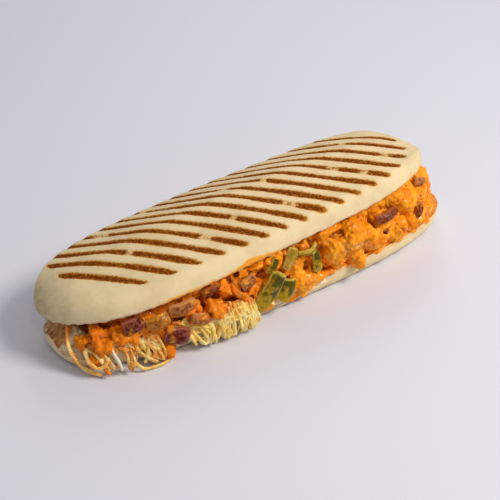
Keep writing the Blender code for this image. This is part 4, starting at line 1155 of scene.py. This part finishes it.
# Vegetables that show on their own: name, side, x, height, out, then length, width, thickness, bend and cup
# in mm, then the slope along the face, the lean of the long edge and the dip of the far end in degrees, and
# the taper
VEGETABLES = (
    ("pepper_strip", -1, -20.5, 19.5, 4.2, 26, 9.5, 2.6, 1.2, 0.8, 58, 0, -14, 0.04),
    ("pepper_square", -1, -8.3, 15.6, 2.6, 13, 11, 2.6, 0.8, 1.0, 74, 0, -4, -0.10),
    ("pepper_sliver", -1, -14.5, 31.6, 1.4, 9, 3.6, 2.4, 0.6, 0.2, 50, 0, 0, 0.10),
    ("pepper_yellow", -1, -4.0, 32.6, 2.6, 12, 5.6, 2.4, 0.8, 0.6, 62, 0, 0, 0.05),
    ("pepper_curl_top", -1, 7.0, 34.4, 2.8, 12, 4.6, 2.2, 2.2, 0.2, 14, 30, 0, 0.05),
    ("pepper_curl_end", -1, 12.6, 25.4, 2.8, 13, 5.2, 2.2, 1.2, 0.4, 96, 0, 0, 0.18),
    ("onion_purple", -1, -94.5, 24.8, 1.8, 11, 6.6, 3.0, 1.2, 1.2, 12, 0, 0, 0.10),
    ("onion_amber", -1, -83.0, 24.2, 2.4, 12, 7.0, 3.0, 1.4, 1.2, 4, 0, 0, -0.10),
    ("onion_maroon", -1, -74.5, 14.4, 4.0, 13, 8.6, 3.4, 1.6, 1.4, -16, 0, 0, 0.08),
    ("onion_pink", -1, -68.5, 27.6, 2.0, 15, 6.6, 3.0, 1.4, 1.2, 6, 0, 0, 0.10),
    ("onion_pink_small", -1, -60.5, 18.6, 2.8, 11, 6.4, 3.0, 1.4, 1.2, -14, 0, 0, 0.06),
    ("onion_brown", -1, -52.5, 30.9, 1.0, 9, 4.2, 2.6, 1.0, 0.8, 10, 0, 0, 0.05),
    ("onion_rose", -1, -30.6, 28.2, 2.0, 9, 6.6, 3.0, 1.0, 1.2, 24, 0, 0, 0.10),
    ("onion_crescent", -1, 63.5, 34.0, 1.0, 18, 5.4, 3.2, 2.4, 1.0, 2, 0, 0, 0.12),
    ("onion_edge", -1, 90.0, 25.8, 2.2, 9, 4.4, 2.8, 1.4, 0.8, 62, 0, 0, 0.10),
    ("onion_bit", -1, 62.6, 23.6, 1.6, 4.4, 3.4, 2.0, 0.6, 0.4, 20, 0, 0, 0.05),
    ("onion_far", -1, 97.5, 38.4, -0.6, 11, 5.2, 2.8, 1.2, 1.0, -24, 0, 0, 0.10),
    ("pepper_back_long", 1, 30.0, 25.5, 1.2, 20, 7.0, 2.6, 1.4, 0.8, 18, 0, 0, 0.06),
    ("pepper_back_short", 1, 72.0, 25.0, 1.4, 13, 8.0, 2.6, 1.0, 0.9, 60, 0, 0, 0.08),
    ("onion_back_dark", 1, -18.0, 21.0, 1.2, 13, 6.4, 3.0, 1.6, 1.2, 12, 0, 0, 0.10),
    ("onion_back_pale", 1, 2.0, 23.4, 1.0, 12, 5.8, 3.0, 1.4, 1.0, -16, 0, 0, 0.08),
)


def build_slice(row, number, material, slot):
    """A cut piece of vegetable: a bent, cupped plate with a skin side, a flesh side and uneven edges."""
    name, side, x, z, out, length, width, thick, bend, cup, slope, lean, dip, taper = row
    place = face_frame(x * MM, z * MM, side, out * MM)
    for angle, axis in ((slope, "Z"), (dip, "Y"), (lean, "X")):
        place = place @ Matrix.Rotation(math.radians(angle), 4, axis)
    along, across, layers = 28, 14, 5
    points, skin, tone = [], [], []
    for layer in range(layers):
        w = 2 * layer / (layers - 1) - 1
        bulge = 1 - 0.05 * abs(w) ** 3
        for i in range(along + 1):
            u = (2 * i / along - 1) * bulge
            for j in range(across + 1):
                v = (2 * j / across - 1) * bulge
                round_u, round_v = u * math.sqrt(1 - 0.2 * v * v), v * math.sqrt(1 - 0.2 * u * u)
                half = (width / 2) * (1 - taper * round_u) * 1.06
                sag = bend * (1 - u * u) + cup * (1 - v * v)
                ragged = 0.07 * width * noise.noise(Vector((u * 1.6, v * 1.6, number * 7.3)))
                slant = 0.1 * width * noise.noise(Vector((number * 3.1, v * 0.8, 4)))
                reach = round_u * length * 0.52 + ragged + slant
                local = Vector((reach, round_v * half + ragged, sag + w * thick / 2))
                local.z += 0.5 * noise.noise(Vector((u * 1.3, v * 1.3, number * 5.7)))
                local.z += 0.25 * noise.noise(Vector((u * length / 4, v * width / 4, w + number * 3)))
                # The skin side's creases
                if w > 0:
                    for turn in (0.7 + number, 2.9 + number * 1.7):
                        local.z -= w * 1.6 * max(0.0, math.cos(turn) * u + math.sin(turn) * v - 0.25)
                points.append(place @ (local * MM))
                edge = max(abs(u), abs(v))
                skin.append((w + 1) / 2 * (1 - smooth_step(0.84, 0.97, edge)))
                tone.append(u)
    faces = []
    row_size, sheet = across + 1, (along + 1) * (across + 1)
    for top, order in (((layers - 1) * sheet, 1), (0, -1)):
        for i in range(along):
            for j in range(across):
                a = top + i * row_size + j
                quad = (a, a + row_size, a + row_size + 1, a + 1)
                faces.append(quad[::order])
    rim = [i * row_size for i in range(along)] + [along * row_size + j for j in range(across)]
    rim += [i * row_size + across for i in range(along, 0, -1)] + [j for j in range(across, 0, -1)]
    for layer in range(layers - 1):
        for first, second in zip(rim, rim[1:] + rim[:1]):
            a, b = layer * sheet + first, layer * sheet + second
            faces.append((a, b, b + sheet, a + sheet))
    piece = new_piece(name + "_slice", points, faces, material)
    set_attribute(piece.data, "skin", skin)
    set_attribute(piece.data, "tone", tone)
    bm = bmesh.new()
    bm.from_mesh(piece.data)
    bmesh.ops.delete(bm, geom=[v for v in bm.verts if not v.link_faces], context="VERTS")
    bm.to_mesh(piece.data)
    bm.free()
    face_outwards(piece)
    bevel = piece.modifiers.new("worn edges", "BEVEL")
    bevel.width = 0.35 * MM
    bevel.segments = 2
    bevel.limit_method = "ANGLE"
    bevel.angle_limit = math.radians(50)
    apply_modifiers(piece)
    piece.data.shade_smooth()
    coords = points_of(piece.data)
    film = noise_at(coords, 6 * MM, number * 2.7) + 0.5 * noise_at(coords, 2 * MM, number)
    film = smooth_step(0.15, 0.75, film + 0.25 * noise_at(coords, 1.1 * MM, number))
    film *= 0.3 if slot == "green_pepper" else 1.0
    set_points(piece.data, coords + normals_of(piece.data) * (film * 0.25 * MM)[:, None])
    set_attribute(piece.data, "film", film)
    return settle(piece, slot, name)


# Stage

FLOOR_REACH = 3.0
CAMERA_TARGET = Vector((-10.0, -9.9, 25.0)) * MM
CAMERA_ROLL = math.radians(-0.7)
LIGHTS = (                           # name, place, side in m, watts and colour
    ("key", (0.54, -0.66, 0.86), 0.42, 11.0, "#FFF9F2"),
    ("rim", (0.55, 0.75, 0.7), 0.5, 2.0, "#FFFFFF"),
    ("glint", (-0.25, -0.62, 0.75), 0.08, 0.4, "#FFFFFF"),
)


def build_stage(stage):
    """A wide pale floor, a soft key light from the right and a camera at the photo's angle."""
    material = new_material("studio_paper", Roughness=0.7, Base_Color=tint("#DCDDE6"))[0]
    corners = [(x * FLOOR_REACH, y * FLOOR_REACH, 0) for x, y in ((-1, -1), (1, -1), (1, 1), (-1, 1))]
    floor = new_piece("floor", corners, [(0, 1, 2, 3)], material)
    world = bpy.data.worlds.new("studio")
    bpy.context.scene.world = world
    world.use_nodes = True
    background = world.node_tree.nodes["Background"]
    background.inputs["Color"].default_value = tint("#E7E6EC")
    background.inputs["Strength"].default_value = 0.43
    for name, place, side, power, colour in LIGHTS:
        data = bpy.data.lights.new(name, "AREA")
        data.size = side
        data.energy = power
        data.color = linear(colour)
        lamp = placed(name, data)
        lamp.location = place
        lamp.rotation_euler = (Vector(place) - CAMERA_TARGET).to_track_quat("Z", "Y").to_euler()
    camera = placed("camera", bpy.data.cameras.new("camera"))
    level = math.cos(stage.elevation)
    turned_x, turned_y = math.sin(stage.azimuth) * level, -math.cos(stage.azimuth) * level
    away = Vector((turned_x, turned_y, math.sin(stage.elevation)))
    turn = away.to_track_quat("Z", "Y").to_matrix().to_4x4()
    roll = Matrix.Rotation(CAMERA_ROLL, 4, "Z")
    camera.matrix_world = Matrix.Translation(CAMERA_TARGET + away * stage.distance) @ turn @ roll
    camera.data.lens = stage.lens
    camera.data.sensor_width = 36
    bpy.context.scene.camera = camera
    bpy.context.scene.view_settings.view_transform = "Standard"


# Operators

class PANINI_OT_bread(bpy.types.Operator):
    """Build both halves of the roll"""
    bl_idname = "panini.bread"
    bl_label = "Bread"

    def execute(self, context):
        bread = context.scene.panini_bread
        crust, crumb = crust_material(bread), crumb_material(bread)
        build_lid(bread, crust, crumb)
        build_base(bread, crust, crumb)
        return {"FINISHED"}


class PANINI_OT_chicken(bpy.types.Operator):
    """Build the sauced chicken"""
    bl_idname = "panini.chicken"
    bl_label = "Chicken"

    def execute(self, context):
        filling = context.scene.panini_filling
        material = chicken_material(filling)
        build_chicken(filling, material)
        build_fringe(material)
        return {"FINISHED"}


class PANINI_OT_cheese(bpy.types.Operator):
    """Build the grated cheese"""
    bl_idname = "panini.cheese"
    bl_label = "Cheese"

    def execute(self, context):
        cheese = context.scene.panini_cheese
        build_cheese(cheese, cheese_material(cheese))
        return {"FINISHED"}


class PANINI_OT_vegetables(bpy.types.Operator):
    """Build the pieces of pepper and onion"""
    bl_idname = "panini.vegetables"
    bl_label = "Vegetables"

    def execute(self, context):
        greens = context.scene.panini_greens
        filling = context.scene.panini_filling
        pepper = pepper_material("green_pepper", greens.skin, greens.flesh, filling)
        yellow = pepper_material("yellow_pepper", linear("#9A7A1C"), linear("#C89A34"), filling)
        red = onion_material("red_onion", greens.onion, linear("#A05A44"), filling)
        browned = onion_material("seared_onion", greens.browned, linear("#A85A2C"), filling, 0.4)
        cooked = onion_material("cooked_onion", greens.cooked, linear("#C88A50"), filling)
        amber = onion_material("glazed_onion", linear("#B4681A"), linear("#C88A3A"), filling)
        for number, row in enumerate(VEGETABLES):
            name = row[0]
            if name.startswith("pepper"):
                material, slot = (yellow if "yellow" in name else pepper), "green_pepper"
            elif any(word in name for word in ("pink", "rose", "far")):
                material, slot = cooked, "cooked_onion"
            elif "amber" in name:
                material, slot = amber, "cooked_onion"
            elif any(word in name for word in ("crescent", "edge", "brown")):
                material, slot = browned, "red_onion"
            else:
                material, slot = red, "red_onion"
            build_slice(row, number, material, slot)
        return {"FINISHED"}


class PANINI_OT_stage(bpy.types.Operator):
    """Build the floor, the lights and the camera"""
    bl_idname = "panini.stage"
    bl_label = "Stage"

    def execute(self, context):
        build_stage(context.scene.panini_stage)
        return {"FINISHED"}


class PANINI_PT_parts(bpy.types.Panel):
    """Lists the parts of the panini"""
    bl_label = "Panini"
    bl_idname = "PANINI_PT_parts"
    bl_space_type = "VIEW_3D"
    bl_region_type = "UI"
    bl_category = "Panini"

    def draw(self, context):
        for operator in OPERATORS:
            self.layout.operator(operator.bl_idname)
        for name in GROUPS:
            box = self.layout.box()
            settings = getattr(context.scene, name)
            for setting in settings.__annotations__:
                box.prop(settings, setting)


GROUPS = {
    "panini_bread": PaniniBread, "panini_filling": PaniniFilling, "panini_cheese": PaniniCheese,
    "panini_greens": PaniniGreens, "panini_stage": PaniniStage,
}
OPERATORS = (PANINI_OT_stage, PANINI_OT_bread, PANINI_OT_chicken, PANINI_OT_cheese, PANINI_OT_vegetables)


def register():
    for group in GROUPS.values():
        bpy.utils.register_class(group)
    for operator in OPERATORS:
        bpy.utils.register_class(operator)
    bpy.utils.register_class(PANINI_PT_parts)
    for name, group in GROUPS.items():
        setattr(bpy.types.Scene, name, PointerProperty(type=group))


def unregister():
    for name in GROUPS:
        delattr(bpy.types.Scene, name)
    for kind in (PANINI_PT_parts, *OPERATORS, *GROUPS.values()):
        bpy.utils.unregister_class(kind)


def main():
    register()
    bpy.ops.panini.stage()
    bpy.ops.panini.bread()
    bpy.ops.panini.chicken()
    bpy.ops.panini.cheese()
    bpy.ops.panini.vegetables()


if __name__ == "__main__":
    main()
